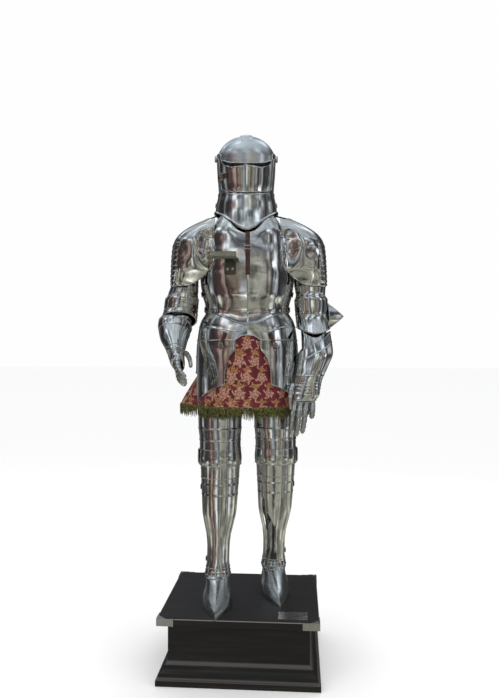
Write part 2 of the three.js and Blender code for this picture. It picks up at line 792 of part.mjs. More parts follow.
// Rows of a tube that ends in raised rims, with a step where one lame lies on the next.
const LEG_PIECES = [
  {
    name: 'cuisse',
    rows: [
      { at: 830, lift: 0 },
      { at: 720, lift: 0 },
      { at: 656, lift: RIM },
      { at: 653.5, lift: 0 },
      { at: 611, lift: RIM },
      { at: 608.5, lift: 0 },
      { at: 578 + SEAM, lift: 0 },
    ],
  },
  {
    name: 'poleyn',
    rows: [
      { at: 578, lift: RIM },
      { at: 546, lift: 1.6 },
      { at: 521, lift: 0.6 },
      { at: 515, lift: RIM },
    ],
  },
  {
    name: 'knee_lame',
    rows: [
      { at: 515 - SEAM, lift: 0.2 },
      { at: 471, lift: 0.2 },
      { at: 465, lift: RIM },
    ],
  },
  {
    name: 'greave',
    rows: [
      { at: 465 - SEAM, lift: 0 },
      { at: 425, lift: 0 },
      { at: 372, lift: 0 },
      { at: 325, lift: 0 },
      { at: 270, lift: 0 },
      { at: 205, lift: 0 },
      { at: 126, lift: 0 },
      { at: 121, lift: RIM },
    ],
  },
  {
    name: 'ankle_lames',
    rows: [
      { at: 121 - SEAM, lift: 0.4 },
      { at: 109.5, lift: RIM },
      { at: 107.5, lift: 0.4 },
      { at: 96, lift: RIM },
    ],
  },
];

const SIDES = [
  { name: 'left', sign: 1, legLine: LEFT_LEG_LINE, armRows: LEFT_ARM },
  { name: 'right', sign: -1, legLine: RIGHT_LEG_LINE, armRows: RIGHT_ARM },
];

// Oval wing standing out at the side of the knee.
function kneeWing(surface, sign) {
  const middle = surface(90 * sign, 546);
  const ring = (out, high, deep) => steps(0, 360, 10).slice(0, -1).map((angle) => new THREE.Vector3(
    middle.x + sign * out,
    middle.y + deep * Math.cos(rad(angle)),
    middle.z + high * Math.sin(rad(angle)),
  ));
  return loft([ring(0.6, 24, 26), ring(5, 29, 32), ring(6.8, 27, 30)]);
}

// Raises every point that lies below a height to that height, so the piece stands flat.
function standOn(geometry, low) {
  const position = geometry.getAttribute('position');
  for (let i = 0; i < position.count; i += 1) {
    position.setZ(i, Math.max(low, position.getZ(i)));
  }
}

for (const { name, legLine, sign } of SIDES) {
  const surface = leg(legLine);
  for (const piece of LEG_PIECES) {
    let geometry = plate(surface, LEG_COLUMNS, piece.rows, { closed: true });
    if (piece.name === 'poleyn') geometry = joined([geometry, kneeWing(surface, sign)]);
    add(suit, `${piece.name}_${name}`, geometry, 'mirror');
  }
  const footColumns = [-180, -150, -120, -90, -72, -54, -36, -18, 0, 18, 36, 54, 72, 90, 120, 150];
  const footRows = FOOT.map((row) => ({ at: row.z, lift: 0 }));
  const sabaton = plate(foot(legLine, FEET[name].yaw), footColumns, footRows, { closed: true });
  standOn(sabaton, PLINTH.gap);
  add(suit, `sabaton_${name}`, sabaton, 'worn');
}

// Body.

const waistAt = (around) => lookUp(WAIST, 'around', 'z', Math.abs(around));
const fauldFootAt = (around) => lookUp(FAULD_FOOT, 'around', 'z', Math.abs(around));

// Breastplate: columns are parts of its half angle, which depends on the height.
const breastNeck = (part) => lookUp(BREAST_NECK, 'around', 'z', Math.abs(part) * 58);
const breastParts = [-1, -0.84, -0.68, -0.52, -0.36, -0.2, -0.09, 0, 0.09, 0.2, 0.36, 0.52, 0.68, 0.84, 1];
const breastRows = [
  { at: (part) => breastNeck(part), lift: RIM },
  { at: (part) => breastNeck(part) - 6, lift: 0 },
  { at: (part) => breastNeck(part) * 0.4 + 1376 * 0.6, lift: 0 },
  { at: 1380, lift: 0 },
  { at: 1310, lift: 0 },
  { at: 1246, lift: 0 },
  { at: 1175, lift: 0 },
  { at: 1128, lift: 0 },
  { at: (part) => (waistAt(part * 88) + 1128) / 2, lift: 0 },
  { at: (part) => waistAt(part * 88) + 6, lift: 0.5 },
  { at: (part) => waistAt(part * 88), lift: RIM + 1 },
];
const breastAngle = (part, z) => part * lookUp(BREAST_SPAN, 'z', 'around', z);
const breastplate = plate(torso, breastParts, breastRows, { angleAt: breastAngle });
add(suit, 'breastplate', breastplate, 'mirror');

const backNeck = (part) => lookUp(BACK_NECK, 'around', 'z', Math.abs(part) * 58);
const backParts = steps(-1, 1, 12);
const backWaist = (part) => waistAt(180 - Math.abs(part) * 91.6);
const backRows = [
  { at: (part) => backNeck(part), lift: RIM },
  { at: 1440, lift: 0 },
  { at: 1400, lift: 0 },
  { at: 1320, lift: 0 },
  { at: 1246, lift: 0 },
  { at: 1175, lift: 0 },
  { at: 1128, lift: 0 },
  { at: (part) => (backWaist(part) + 1128) / 2, lift: 0 },
  { at: (part) => backWaist(part) + 6, lift: 0.5 },
  { at: (part) => backWaist(part), lift: RIM + 1 },
];
const backAngle = (part, z) => 180 + part * Math.min(91.6, lookUp(BREAST_SPAN, 'z', 'around', z) + 3.6);
const backplate = plate(torso, backParts, backRows, { angleAt: backAngle });
add(suit, 'backplate', backplate, 'mirror');

// Fauld: a full ring of two lames with an arch over the middle of the skirt.
const halfColumns = [
  4, 8, 11, 13, 17.6, 31.7, 45.8, 59.8, 73.9, 88, 103.7, 118.9, 134.2, 149.5, 164.7,
];
const fauldColumns = [-180, ...halfColumns.map((angle) => -angle).reverse(), 0, ...halfColumns];
const between = (around, share) => THREE.MathUtils.lerp(
  waistAt(around) - 2 * SEAM,
  fauldFootAt(around),
  share,
);
const fauldRows = [
  { at: (around) => between(around, 0), lift: 0.4 },
  { at: (around) => between(around, 0.5), lift: RIM },
  { at: (around) => between(around, 0.53), lift: 0.4 },
  { at: (around) => between(around, 0.93), lift: 0.4 },
  { at: (around) => between(around, 1), lift: RIM + 0.6 },
];
add(suit, 'fauld', plate(torso, fauldColumns, fauldRows, { closed: true }), 'mirror');

// Tassets: a patch between the fauld, the curved inner edge, the foot and the side.
function tasset(sign) {
  const parts = [0, 0.08, 0.24, 0.42, 0.6, 0.68, 0.85, 1];
  const levels = [0, 0.12, 0.3, 0.5, 0.7, 0.85, 0.96, 1];
  const skin = (liftOf) => levels.map((level) => parts.map((share) => {
    const edgeZ = THREE.MathUtils.lerp(992, 831, level);
    const inner = torsoAngle(lookUp(TASSET_EDGE, 'z', 'x', edgeZ), edgeZ);
    const around = THREE.MathUtils.lerp(inner, TASSET_SIDE, share);
    const top = Math.min(995, fauldFootAt(around)) - 2 * SEAM;
    const z = THREE.MathUtils.lerp(top, lookUp(TASSET_FOOT, 'part', 'z', share), level);
    return lifted(torso, sign * around, z, liftOf(share, level));
  }));
  const raised = (share, level) => {
    if (share === 0 || level === 1) return RIM;
    return share > 0.5 ? 2 : 0;
  };
  return wall(skin(raised), skin(() => -STEEL), false);
}

// Hip plate: from the tasset's side round to the back.
function hipPlate(sign) {
  const angles = [TASSET_SIDE + 0.3, 80, 88, 103.7, 118.9, HIP_BACK];
  const footAt = (around) => lookUp(HIP_FOOT, 'around', 'z', around);
  const rowAt = (share) => (around) => THREE.MathUtils.lerp(
    fauldFootAt(around) - 2 * SEAM,
    footAt(around),
    share,
  );
  const rows = [
    { at: rowAt(0), lift: 0.2 },
    { at: rowAt(0.5), lift: RIM },
    { at: rowAt(0.53), lift: 0.2 },
    { at: rowAt(0.95), lift: 0.2 },
    { at: rowAt(1), lift: RIM },
  ];
  return plate((around, z) => torso(sign * around, z), angles, rows, { side: sign });
}

for (const { name, sign } of SIDES) {
  add(suit, `tasset_${name}`, tasset(sign), 'mirror');
  add(suit, `hip_plate_${name}`, hipPlate(sign), 'mirror');
}

// Skirt and fringe.

const skirtColumns = circle(SKIRT.columns);
const skirtRows = [SKIRT.top, 988, 866, 808, SKIRT.hem].map((z) => ({ at: z, lift: 0 }));
const skirtWall = plate(skirt, skirtColumns, skirtRows, { closed: true, inside: -CLOTH });
add(suit, 'skirt', skirtWall, 'brocade');

// Fringe: a narrow strip under the hem. Each cell of its lower edge runs down into one strand
// with four sides, which narrows to a short edge.
function fringe() {
  const count = FRINGE.strands;
  const top = SKIRT.hem - 2.4 * SEAM;
  const low = top - FRINGE.strip;
  const angles = circle(count);
  const outerLift = (FRINGE.thick - CLOTH) / 2;
  const edge = (z, lift) => angles.map((around) => lifted(skirt, around, z, lift));
  const outerTop = edge(top, outerLift);
  const outerLow = edge(low, outerLift);
  const innerTop = edge(top, outerLift - FRINGE.thick);
  const innerLow = edge(low, outerLift - FRINGE.thick);
  const triangles = [];
  const quad = (a, b, c, d) => triangles.push([a, b, c], [a, c, d]);
  for (let c = 0; c < count; c += 1) {
    const n = (c + 1) % count;
    quad(outerTop[c], outerTop[n], outerLow[n], outerLow[c]);
    quad(innerTop[n], innerTop[c], innerLow[c], innerLow[n]);
    quad(outerTop[n], outerTop[c], innerTop[c], innerTop[n]);
    const along = outerLow[n].clone().sub(outerLow[c]).normalize();
    const middle = outerLow[c].clone().add(outerLow[n]).add(innerLow[c]).add(innerLow[n]);
    middle.multiplyScalar(0.25);
    middle.addScaledVector(along, 1.1 * Math.sin(c * 3.7));
    middle.z = low - FRINGE.length * (0.93 + 0.07 * Math.sin(c * 5.1));
    const left = middle.clone().addScaledVector(along, -FRINGE.tip / 2);
    const right = middle.clone().addScaledVector(along, FRINGE.tip / 2);
    quad(outerLow[c], outerLow[n], right, left);
    quad(innerLow[n], innerLow[c], left, right);
    triangles.push([outerLow[n], innerLow[n], right]);
    triangles.push([innerLow[c], outerLow[c], left]);
  }
  return geometryOf(triangles);
}
add(suit, 'skirt_fringe', fringe(), 'bullion');

// Arms.

const ARM_COLUMNS = circle(16);
const LEFT_CUFF_TOP = [
  { around: 0, s: 990 },
  { around: 90, s: 1034 },
  { around: 180, s: 1000 },
  { around: 270, s: 945 },
  { around: 360, s: 990 },
];
const RIGHT_CUFF_TOP = [
  { around: 0, s: 1021 },
  { around: 360, s: 1021 },
];
// Lower edge of the elbow: longest at the front.
const ELBOW_END = {
  left: [
    { around: 0, s: 1021 },
    { around: 90, s: 1047 },
    { around: 180, s: 1052 },
  ],
  right: [
    { around: 0, s: 1036 },
    { around: 90, s: 1040 },
    { around: 180, s: 1044 },
  ],
};
const FINGERS = {
  left: [
    { root: [178, -138, 764.6], bend: [168, -151, 713], tip: [162, -147, 650] },
    { root: [200, -139, 764.6], bend: [191, -154, 706], tip: [183, -148, 636] },
    { root: [222, -138, 764.6], bend: [214, -153, 710], tip: [205, -147, 646] },
    { root: [243, -136, 764.6], bend: [244, -148, 736], tip: [240, -145, 702] },
  ],
  right: [
    { root: [-258, -195.7, 926], bend: [-252, -220, 891], tip: [-226, -228, 860] },
    { root: [-258, -180.7, 910], bend: [-252, -206, 874], tip: [-224, -212, 844] },
    { root: [-258, -165.7, 893], bend: [-252, -188, 860], tip: [-225, -192, 834] },
    { root: [-258, -150.7, 877], bend: [-253, -168, 850], tip: [-229, -171, 830] },
  ],
};
const THUMBS = {
  left: { root: [170, -146.3, 826], bend: [158.6, -159.7, 786], tip: [160.6, -162.7, 738] },
  right: { root: [-227.6, -136, 943], bend: [-216, -172, 926], tip: [-210, -200, 896] },
};
// Bar across the roots of the fingers, on the back of the hand.
const KNUCKLES = {
  left: { out: [0, -10.6, 0], along: [4, 0, 0], down: [0, 0, -9], deep: [0, -3.4, 0] },
  right: { out: [-10.6, -2, -3], along: [0, 3, 3], down: [0, -6, -7], deep: [-3.4, 0, 0] },
};

function knuckleBar(rows, bar) {
  const vector = (values) => new THREE.Vector3(...values);
  const along = vector(bar.along);
  const ring = (root, share) => {
    const corner = vector(root).add(vector(bar.out)).addScaledVector(along, share);
    return [
      corner.clone(),
      corner.clone().add(vector(bar.deep)),
      corner.clone().add(vector(bar.deep)).add(vector(bar.down)),
      corner.clone().add(vector(bar.down)),
    ];
  };
  return loft([ring(rows[0].root, 0), ring(rows[rows.length - 1].root, 0)]);
}

// Pointed wing of the left elbow: a hollow pyramid open towards the arm, on a small block.
function elbowWing(surface, sign, s) {
  const middle = surface(90 * sign, s);
  const block = box(
    [middle.x - 1, middle.y - 7, middle.z - 16],
    [middle.x + 5, middle.y + 7, middle.z - 3],
  );
  const ring = (out, high, deep) => steps(0, 360, 8).slice(0, -1).map((angle) => new THREE.Vector3(
    middle.x + sign * out,
    middle.y + 4 + deep * Math.cos(rad(angle)),
    middle.z + high * Math.sin(rad(angle)),
  ));
  const outer = [ring(3.4, 52, 34), ring(28, 40, 20), ring(66, 0, 0)];
  const inner = [ring(3.4, 49, 31), ring(27, 36, 16.5), ring(59, 0, 0)];
  return joined([wall(outer, inner, true), block]);
}

for (const { name, sign, armRows } of SIDES) {
  const surface = arm(armRows);
  const shoulderSurface = shoulder(sign);
  const rimAt = (around) => lookUp(SHOULDER_RIM, 'around', 'z', around);
  const shoulderColumns = [-1.5, 3, 12, 25, 42, 60, 80, 90, 100, 120, 145, 168, 184];
  const topAt = (around) => 1480 - 12 * Math.abs(Math.cos(rad(around)));
  const levelAt = (share) => (around) => THREE.MathUtils.lerp(topAt(around), rimAt(around), share);
  const shoulderRows = [0, 0.08, 0.18, 0.32, 0.5, 0.72, 0.96].map((share) => ({
    at: levelAt(share),
    lift: 0,
  }));
  shoulderRows.push({ at: levelAt(1), lift: RIM });
  const pauldron = plate(shoulderSurface, shoulderColumns, shoulderRows, { side: sign });
  add(suit, `pauldron_${name}`, pauldron, 'mirror');

  const rerebrace = plate(surface, ARM_COLUMNS, [
    { at: 1262, lift: 0 },
    { at: 1225, lift: 0 },
    { at: 1183 + SEAM, lift: 0 },
  ], { closed: true });
  add(suit, `rerebrace_${name}`, rerebrace, 'mirror');

  const upper = plate(surface, ARM_COLUMNS, [
    { at: 1183, lift: RIM },
    { at: 1178, lift: 0.8 },
    { at: 1160, lift: 0.8 },
    { at: 1101 + 2 * SEAM, lift: 0.8 },
  ], { closed: true });
  add(suit, `elbow_upper_${name}`, upper, 'mirror');

  const endAt = (more) => (around) => more + lookUp(ELBOW_END[name], 'around', 's', Math.abs(around));
  const lower = plate(surface, ARM_COLUMNS, [
    { at: 1101, lift: RIM },
    { at: 1097, lift: 0.6 },
    { at: 1066, lift: 0.6 },
    { at: endAt(5), lift: 0.8 },
    { at: endAt(0), lift: RIM + 0.8 },
  ], { closed: true });
  const winged = sign > 0 ? joined([lower, elbowWing(surface, sign, 1094)]) : lower;
  add(suit, `elbow_lower_${name}`, winged, 'mirror');

  const insetAt = (s) => lookUp(FOREARM_INSET, 's', 'inset', s);
  const forearmRows = [1094, 1076, 1036, 952, 858, 842].map((s) => ({
    at: s,
    lift: -insetAt(s),
    inside: -insetAt(s) - STEEL,
  }));
  add(suit, `forearm_${name}`, plate(surface, ARM_COLUMNS, forearmRows, { closed: true }), 'mirror');

  const cuffTop = name === 'left' ? LEFT_CUFF_TOP : RIGHT_CUFF_TOP;
  const cuffTopAt = (around) => lookUp(
    cuffTop,
    'around',
    's',
    THREE.MathUtils.euclideanModulo(around, 360),
  );
  const cuffAt = (share) => (around) => THREE.MathUtils.lerp(cuffTopAt(around), 836 + SEAM, share);
  const cuff = plate(surface, ARM_COLUMNS, [
    { at: cuffAt(0), lift: RIM },
    { at: cuffAt(0.04), lift: 0 },
    { at: cuffAt(0.35), lift: 0 },
    { at: cuffAt(0.7), lift: 0 },
    { at: cuffAt(0.92), lift: 0 },
    { at: cuffAt(1), lift: RIM },
  ], { closed: true });
  add(suit, `cuff_${name}`, cuff, 'mirror');

  const hand = plate(surface, ARM_COLUMNS, [
    { at: 836, lift: 0 },
    { at: 812, lift: RIM },
    { at: 810, lift: 0 },
    { at: 768 + SEAM, lift: RIM },
  ], { closed: true });
  add(suit, `hand_${name}`, hand, 'mirror');

  const fingers = FINGERS[name].map(({ root, bend, tip }) => finger([root, bend, tip], 11.6, 8, 6));
  const bar = knuckleBar(FINGERS[name], KNUCKLES[name]);
  add(suit, `fingers_${name}`, joined([...fingers, bar]), 'worn');
  const thumb = THUMBS[name];
  add(suit, `thumb_${name}`, finger([thumb.root, thumb.bend, thumb.tip], 11, 8, 6), 'worn');
}

// Helm.

const HELM_COLUMNS = [
  -180, -160, -140, -120, -104, -90, -78, -66, -60, -52, -40, -26, -12,
  0, 12, 26, 40, 52, 60, 66, 78, 90, 104, 120, 140, 160,
];
const browAt = (around) => lookUp(BROW, 'around', 'z', Math.abs(around));
const DOME_LEVELS = [1806, 1800, 1782, 1750, 1702, 1640];
const skullRows = DOME_LEVELS.map((z) => ({ at: (around) => Math.max(z, browAt(around)) }));
skullRows.push({ at: browAt, lift: 0 });
add(suit, 'helm_skull', plate(helm, HELM_COLUMNS, skullRows, { closed: true, inside: -2 }), 'satin');

const slitAt = (around) => lookUp(SLIT, 'around', 'z', Math.abs(around));
const faceFootAt = (around) => lookUp(FACE_FOOT, 'around', 'z', Math.abs(around));
const faceColumns = [-90, -78, -66, -60, -52, -40, -26, -12, 0, 12, 26, 40, 52, 60, 66, 78, 90];
const faceAt = (share) => (around) => THREE.MathUtils.lerp(slitAt(around), faceFootAt(around), share);
const visor = plate(helm, faceColumns, [
  { at: faceAt(0), lift: 3.4 },
  { at: faceAt(0.33), lift: 3.4 },
  { at: faceAt(0.66), lift: 3.4 },
  { at: faceAt(0.95), lift: 3.4 },
  { at: faceAt(1), lift: 5.6 },
], { inside: 1.6 });
add(suit, 'visor', visor, 'mirror');

const bevorTopAt = (around) => {
  if (Math.abs(around) >= 66) return browAt(around) - 2 * SEAM;
  return lookUp(BEVOR_TOP, 'around', 'z', Math.abs(around)) - SEAM;
};
const bevorFootAt = (around) => lookUp(BEVOR_FOOT, 'around', 'z', Math.abs(around));
const bevorAt = (share) => (around) => THREE.MathUtils.lerp(bevorTopAt(around), bevorFootAt(around), share);
const bevor = plate(helm, HELM_COLUMNS, [
  { at: bevorAt(0), lift: 1.2 },
  { at: bevorAt(0.3), lift: 1.2 },
  { at: bevorAt(0.6), lift: 1.2 },
  { at: bevorAt(0.95), lift: 1.2 },
  { at: bevorAt(1), lift: 4.2 },
], { closed: true, inside: -0.4 });
add(suit, 'bevor', bevor, 'mirror');

// Pivot: a round head over the arm of the face plate, with its axis along X.
function disc(x0, x1, y, z, radius, sides = 12) {
  const ring = (x) => steps(0, 360, sides).slice(0, -1).map((angle) => new THREE.Vector3(
    x,
    y + radius * Math.cos(rad(angle)),
    z + radius * Math.sin(rad(angle)),
  ));
  return loft([ring(x0), ring(x1)]);
}

// Patch of leather or plate: rows of points as a wall with its other skin moved by `shift`.
function patch(rows, shift) {
  return wall(rows.map((row) => row.map((p) => p.clone().add(shift))), rows, false);
}

for (const { name, sign } of SIDES) {
  const face = lifted(helm, 90 * sign, PIVOT.z - PIVOT.radius, 5.6).x;
  const pivot = disc(face + sign * 0.6, face + sign * (0.6 + PIVOT.thick), PIVOT.y, PIVOT.z, PIVOT.radius);
  add(suit, `pivot_${name}`, pivot, 'mirror');
}

// Leather strap with its buckle on the face plate's right cheek, over the side edge.
const CHEEK = { z: 1631, high: 9, from: -66, to: -38, lift: 5.8 };
const cheekAngles = [CHEEK.from, -60, -52, -45, CHEEK.to];
const cheekStrap = plate(helm, cheekAngles, [
  { at: CHEEK.z + CHEEK.high, lift: CHEEK.lift + LEATHER },
  { at: CHEEK.z - CHEEK.high, lift: CHEEK.lift + LEATHER },
], { inside: CHEEK.lift });
const cheekBuckle = plate(helm, [-55, -52, -45], [
  { at: CHEEK.z + 13, lift: CHEEK.lift + 4 },
  { at: CHEEK.z - 13, lift: CHEEK.lift + 4 },
], { inside: CHEEK.lift + 1 });
add(suit, 'cheek_strap', joined([cheekStrap, cheekBuckle]), 'leather');

// Chest strap on the ridge, from under the rim of the helm's lower plate to the breast.
const CHEST = { half: 8.5, low: 1239, buckle: 1336, buckleHigh: 28, buckleWide: 25 };
function chestRow(z, lift) {
  return [-CHEST.half, 0, CHEST.half].map((x) => lifted(torso, torsoAngle(x, z), z, lift));
}
const rimSeat = (z) => torso(0, z).y - helm(0, z).y - 5.5 * SEAM;
const chestRows = [
  { z: 1416, lift: rimSeat(1416) },
  { z: 1404, lift: rimSeat(1408) },
  { z: 1380, lift: 4 },
  { z: 1345, lift: 3.4 },
  { z: 1310, lift: 3.4 },
  { z: 1262, lift: 3.4 },
  { z: CHEST.low, lift: 3.4 },
];
const chestStrap = wall(
  chestRows.map(({ z, lift }) => chestRow(z, lift)),
  chestRows.map(({ z, lift }) => chestRow(z, lift - LEATHER)),
  false,
);
const buckleFront = torso(0, CHEST.buckle).y - 7.6;
const chestBuckle = box(
  [-CHEST.buckleWide / 2, buckleFront, CHEST.buckle - CHEST.buckleHigh / 2],
  [CHEST.buckleWide / 2, buckleFront + 3, CHEST.buckle + CHEST.buckleHigh / 2],
);
add(suit, 'chest_strap', joined([chestStrap, chestBuckle]), 'leather');

// Shoulder straps: from under the rim of the helm's lower plate down on to the shoulder plate.
for (const { name, sign } of SIDES) {
  const surface = shoulder(sign);
  const onPlate = (z) => [82, 90, 98].map((around) => lifted(surface, around, z, SEAM, sign));
  const middle = surface(90, 1480);
  const inward = [
    { x: 116, z: 1492.5 },
    { x: 130, z: 1491 },
  ].map(({ x, z }) => [-10, 0, 10].map((y) => new THREE.Vector3(HELM_X + sign * x, middle.y + y, z)));
  const rows = [...inward, onPlate(1480), onPlate(1470), onPlate(1460)];
  add(suit, `shoulder_strap_${name}`, patch(rows, new THREE.Vector3(sign * 1, 0, 2.2)), 'leather');
}

// Leathers that carry the legs, hidden inside the skirt: from each cuisse up to the fauld.
for (const { name, sign, legLine } of SIDES) {
  const surface = leg(legLine);
  const onCuisse = (z) => [-8, 0, 8].map((turn) => lifted(surface, sign * (90 + turn), z, SEAM));
  const level = surface(90, 830).y;
  const inFauld = (z, lift) => [-11, 0, 11].map((y) => {
    const around = 90 + ((level + y) / 192) * 57;
    return lifted(torso, sign * around, z, lift);
  });
  const rows = [
    inFauld(1046, -STEEL - LEATHER - 5 * SEAM),
    inFauld(1034, -STEEL - LEATHER - 5 * SEAM),
    inFauld(1022, -12.5),
    inFauld(990, -14),
    onCuisse(826),
    onCuisse(806),
  ];
  add(suit, `leg_leather_${name}`, patch(rows, new THREE.Vector3(sign * LEATHER, 0, 0)), 'leather');
}

// Lance rest: a plate on the right breast with two lugs, and an arm hinged between them.
const restX = [LANCE_REST.outer, -65, LANCE_REST.inner];
const restRow = (z, lift) => restX.map((x) => lifted(torso, torsoAngle(x, z), z, lift));
const restLevels = [LANCE_REST.high, 1270, LANCE_REST.low];
const restPlate = wall(
  restLevels.map((z) => restRow(z, SEAM + LANCE_REST.baseThick)),
  restLevels.map((z) => restRow(z, SEAM)),
  false,
);
const plateFront = restRow(LANCE_REST.high, SEAM + LANCE_REST.baseThick)[2].y;
const hingeY = plateFront - LANCE_REST.barrel - 1.5;
const lugs = [
  { from: LANCE_REST.outer, to: LANCE_REST.outer + 9 },
  { from: LANCE_REST.inner - 9, to: LANCE_REST.inner },
].map(({ from, to }) => {
  const barrel = disc(from, to, hingeY, LANCE_REST.hingeZ, LANCE_REST.barrel, 10);
  const foot = lifted(torso, torsoAngle(to, LANCE_REST.high), LANCE_REST.high, SEAM + 1.6).y;
  const web = box([from, hingeY - 2, LANCE_REST.high - 12], [to, foot, LANCE_REST.hingeZ]);
  return joined([barrel, web]);
});
const bolts = [-74, -56].map((x) => {
  const seat = lifted(torso, torsoAngle(x, 1262), 1262, SEAM + 1).y;
  const ring = (y) => steps(0, 360, 8).slice(0, -1).map((angle) => new THREE.Vector3(
    x + 5.5 * Math.cos(rad(angle)),
    y,
    1262 + 5.5 * Math.sin(rad(angle)),
  ));
  return loft([ring(seat), ring(seat - 7)]);
});
add(suit, 'lance_rest_base', joined([restPlate, ...lugs, ...bolts]), 'satin');

// The arm, swung about the hinge: a barrel and a trough that dips and rises to its lip.
const restArm = new THREE.Group();
restArm.position.set(0, hingeY, LANCE_REST.hingeZ);
suit.add(restArm);
const TROUGH = [
  { out: 6, up: 1 },
  { out: 14, up: -6 },
  { out: 28, up: -9 },
  { out: 42, up: -6 },
  { out: 52, up: 2 },
  { out: LANCE_REST.reach, up: 13 },
];
function troughRow(x, extra) {
  return TROUGH.map(({ out, up }) => new THREE.Vector3(x, -out, up + extra));
}
const troughX = [LANCE_REST.armOuter, LANCE_REST.armOuter + 36, -78, LANCE_REST.armInner];
const trough = wall(
  troughX.map((x) => troughRow(x, 0)),
  troughX.map((x) => troughRow(x, -LANCE_REST.armThick)),
  false,
);
const knuckle = disc(
  LANCE_REST.outer + 9 + SEAM,
  LANCE_REST.inner - 9 - SEAM,
  0,
  0,
  LANCE_REST.barrel,
  10,
);
const tongue = box(
  [LANCE_REST.outer + 10, -9, -2.4],
  [LANCE_REST.inner - 10, -1, 0.6],
);
add(restArm, 'lance_rest_arm', joined([knuckle, tongue, trough]), 'satin');

export default part;
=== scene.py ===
# %% [markdown]
# # A tournament armour on its display plinth
# The suit is polished plate steel: rounded plates with rolled edges, lames that lie on each
# other, rivets, leather straps and a brocade skirt with a fringe. It stands hollow on a dark
# wooden plinth. This lesson dresses a fixed engineering model: every new piece lies where the
# model's own piece lies, so nothing has to be fitted.

# %% Load the fixed frame
import math

import bpy
import numpy as np
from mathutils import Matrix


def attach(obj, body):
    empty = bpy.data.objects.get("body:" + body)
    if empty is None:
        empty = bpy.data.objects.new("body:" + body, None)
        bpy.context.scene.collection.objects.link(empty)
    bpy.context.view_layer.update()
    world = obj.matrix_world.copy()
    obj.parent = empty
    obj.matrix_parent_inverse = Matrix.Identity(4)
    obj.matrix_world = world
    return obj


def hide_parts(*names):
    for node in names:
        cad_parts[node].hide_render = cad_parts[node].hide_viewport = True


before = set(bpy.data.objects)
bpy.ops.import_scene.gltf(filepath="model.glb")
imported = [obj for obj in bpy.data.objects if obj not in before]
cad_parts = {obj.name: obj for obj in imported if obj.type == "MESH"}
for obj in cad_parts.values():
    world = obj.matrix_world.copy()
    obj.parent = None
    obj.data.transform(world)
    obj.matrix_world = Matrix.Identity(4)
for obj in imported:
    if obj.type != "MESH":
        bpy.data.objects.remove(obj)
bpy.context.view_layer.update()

# %% [markdown]
# ## The camera
# The photograph was taken from chest height, a little to the armour's left, with a lens wide
# enough to show the plinth from above. The camera is made first, so that every later step can
# be compared with the photograph.

# %% The camera
CAMERA_PLACE = (0.2157, -2.5765, 1.204)
CAMERA_TURN = 4.25
CAMERA_LENS = 34.04
camera = bpy.data.objects.new("camera", bpy.data.cameras.new("camera"))
camera.data.lens = CAMERA_LENS
camera.location = CAMERA_PLACE
camera.rotation_euler = (math.radians(90), 0, math.radians(CAMERA_TURN))
bpy.context.scene.collection.objects.link(camera)
bpy.context.scene.camera = camera
bpy.context.scene.view_settings.view_transform = "Standard"
print("camera: at", CAMERA_PLACE, "m, lens", CAMERA_LENS, "mm")

# %% [markdown]
# ## Sizes
# A plate is a stretch of a surface, and a surface is a stack of sections. Each table gives the
# sections' sizes in millimetres, in the armour's own frame: +Z up, -Y to the front and +X to
# the armour's left. A curve through a column gives the size at any height between its rows.

# %% Driving sizes and section tables
STAND_X, STAND_Y, STAND_Z, STAND_TURN = 12, 45, 240, 5
STEEL, RIM, SEAM, LEATHER, CLOTH = 1.6, 2.2, 0.4, 2.4, 2.0
TORSO_FULLNESS, SHOULDER_FULLNESS, SHOULDER_X = 0.92, 0.8, 125
HELM_X, DOME_FOOT, DOME_RISE = -4, 1702, 104


def table(names, block):
    """Named columns of numbers from a short block of text, sorted by the first column."""
    rows = np.array([[float(v) for v in line.split()] for line in block.strip().splitlines()])
    return dict(zip(names.split(), rows[rows[:, 0].argsort()].T))


TORSO = table("z half front back", """
    740 204 191 165
    795 203 191 164
    870 203 191 162
    960 201 187 157
    1000 197 182 150
    1050 190 172 137
    1080 180 164 122
    1105 164 160 112
    1128 163 166 114
    1175 175 176 124
    1250 184 178 137
    1330 180 167 139
    1400 165 146 126
    1450 138 115 105
    1500 100 85 80""")
HELM = table("z half front back", """
    1408 128 160 112
    1447 126 144 107
    1497 122 130 100
    1535 118 124 97
    1559 112 120 99
    1583 109 119 103
    1630 113 121 113
    1678 116 123 120
    1702 117 121 120""")
SHOULDER = table("z half front back", """
    1200 192 84 114
    1219 191 92 120
    1280 188 132 132
    1330 185 142 134
    1380 178 137 124
    1410 160 124 114
    1439 122 104 98
    1462 78 80 78
    1480 34 58 58""")
SHOULDER_RIM = table("around z", """
    -2 1322
    3 1272
    12 1236
    30 1210
    60 1208
    90 1219
    140 1240
    186 1292""")
LEFT_ARM = table("s x y z pitch a b", """
    1262 247 4 1262 0 57 58
    1225 250 3 1225 0 63 60
    1183 252 2 1183 0 59 60
    1160 254 1 1160 0 65 66
    1100 255 -4 1100 0 63 66
    1060 259 -22 1060 0 64 63
    1021 261 -46 1021 0 65 62
    952 264 -80 952 0 67 58
    900 249 -102 900 0 61 50
    836 229 -124 836 0 51 36
    800 221 -132 800 0 52 27
    768 211 -137 768 0 45 21""")
RIGHT_ARM = table("s x y z pitch a b", """
    1262 -243 5 1262 0 49.5 55.4
    1225 -247 0 1225 0 52.8 51.4
    1183 -255 4 1183 0 60 60
    1160 -260 5 1160 0 66 65
    1100 -265 10 1116 12 67 66
    1060 -268 2 1092 26 69 65
    1036 -272 -8 1074 34 69 62
    1021 -284 -28 1053 42 66 58
    952 -284 -68 1010 44 56 52
    900 -277 -103 976 45 42 44
    836 -270 -134 945 45 31 37
    800 -265 -152 923 42 27 43
    768 -258 -166 904 40 20 43""")
FOREARM_INSET = table("s inset", """
    1094 2.4
    1076 8
    1036 15
    952 13
    900 7
    858 2.4
    842 2.3""")
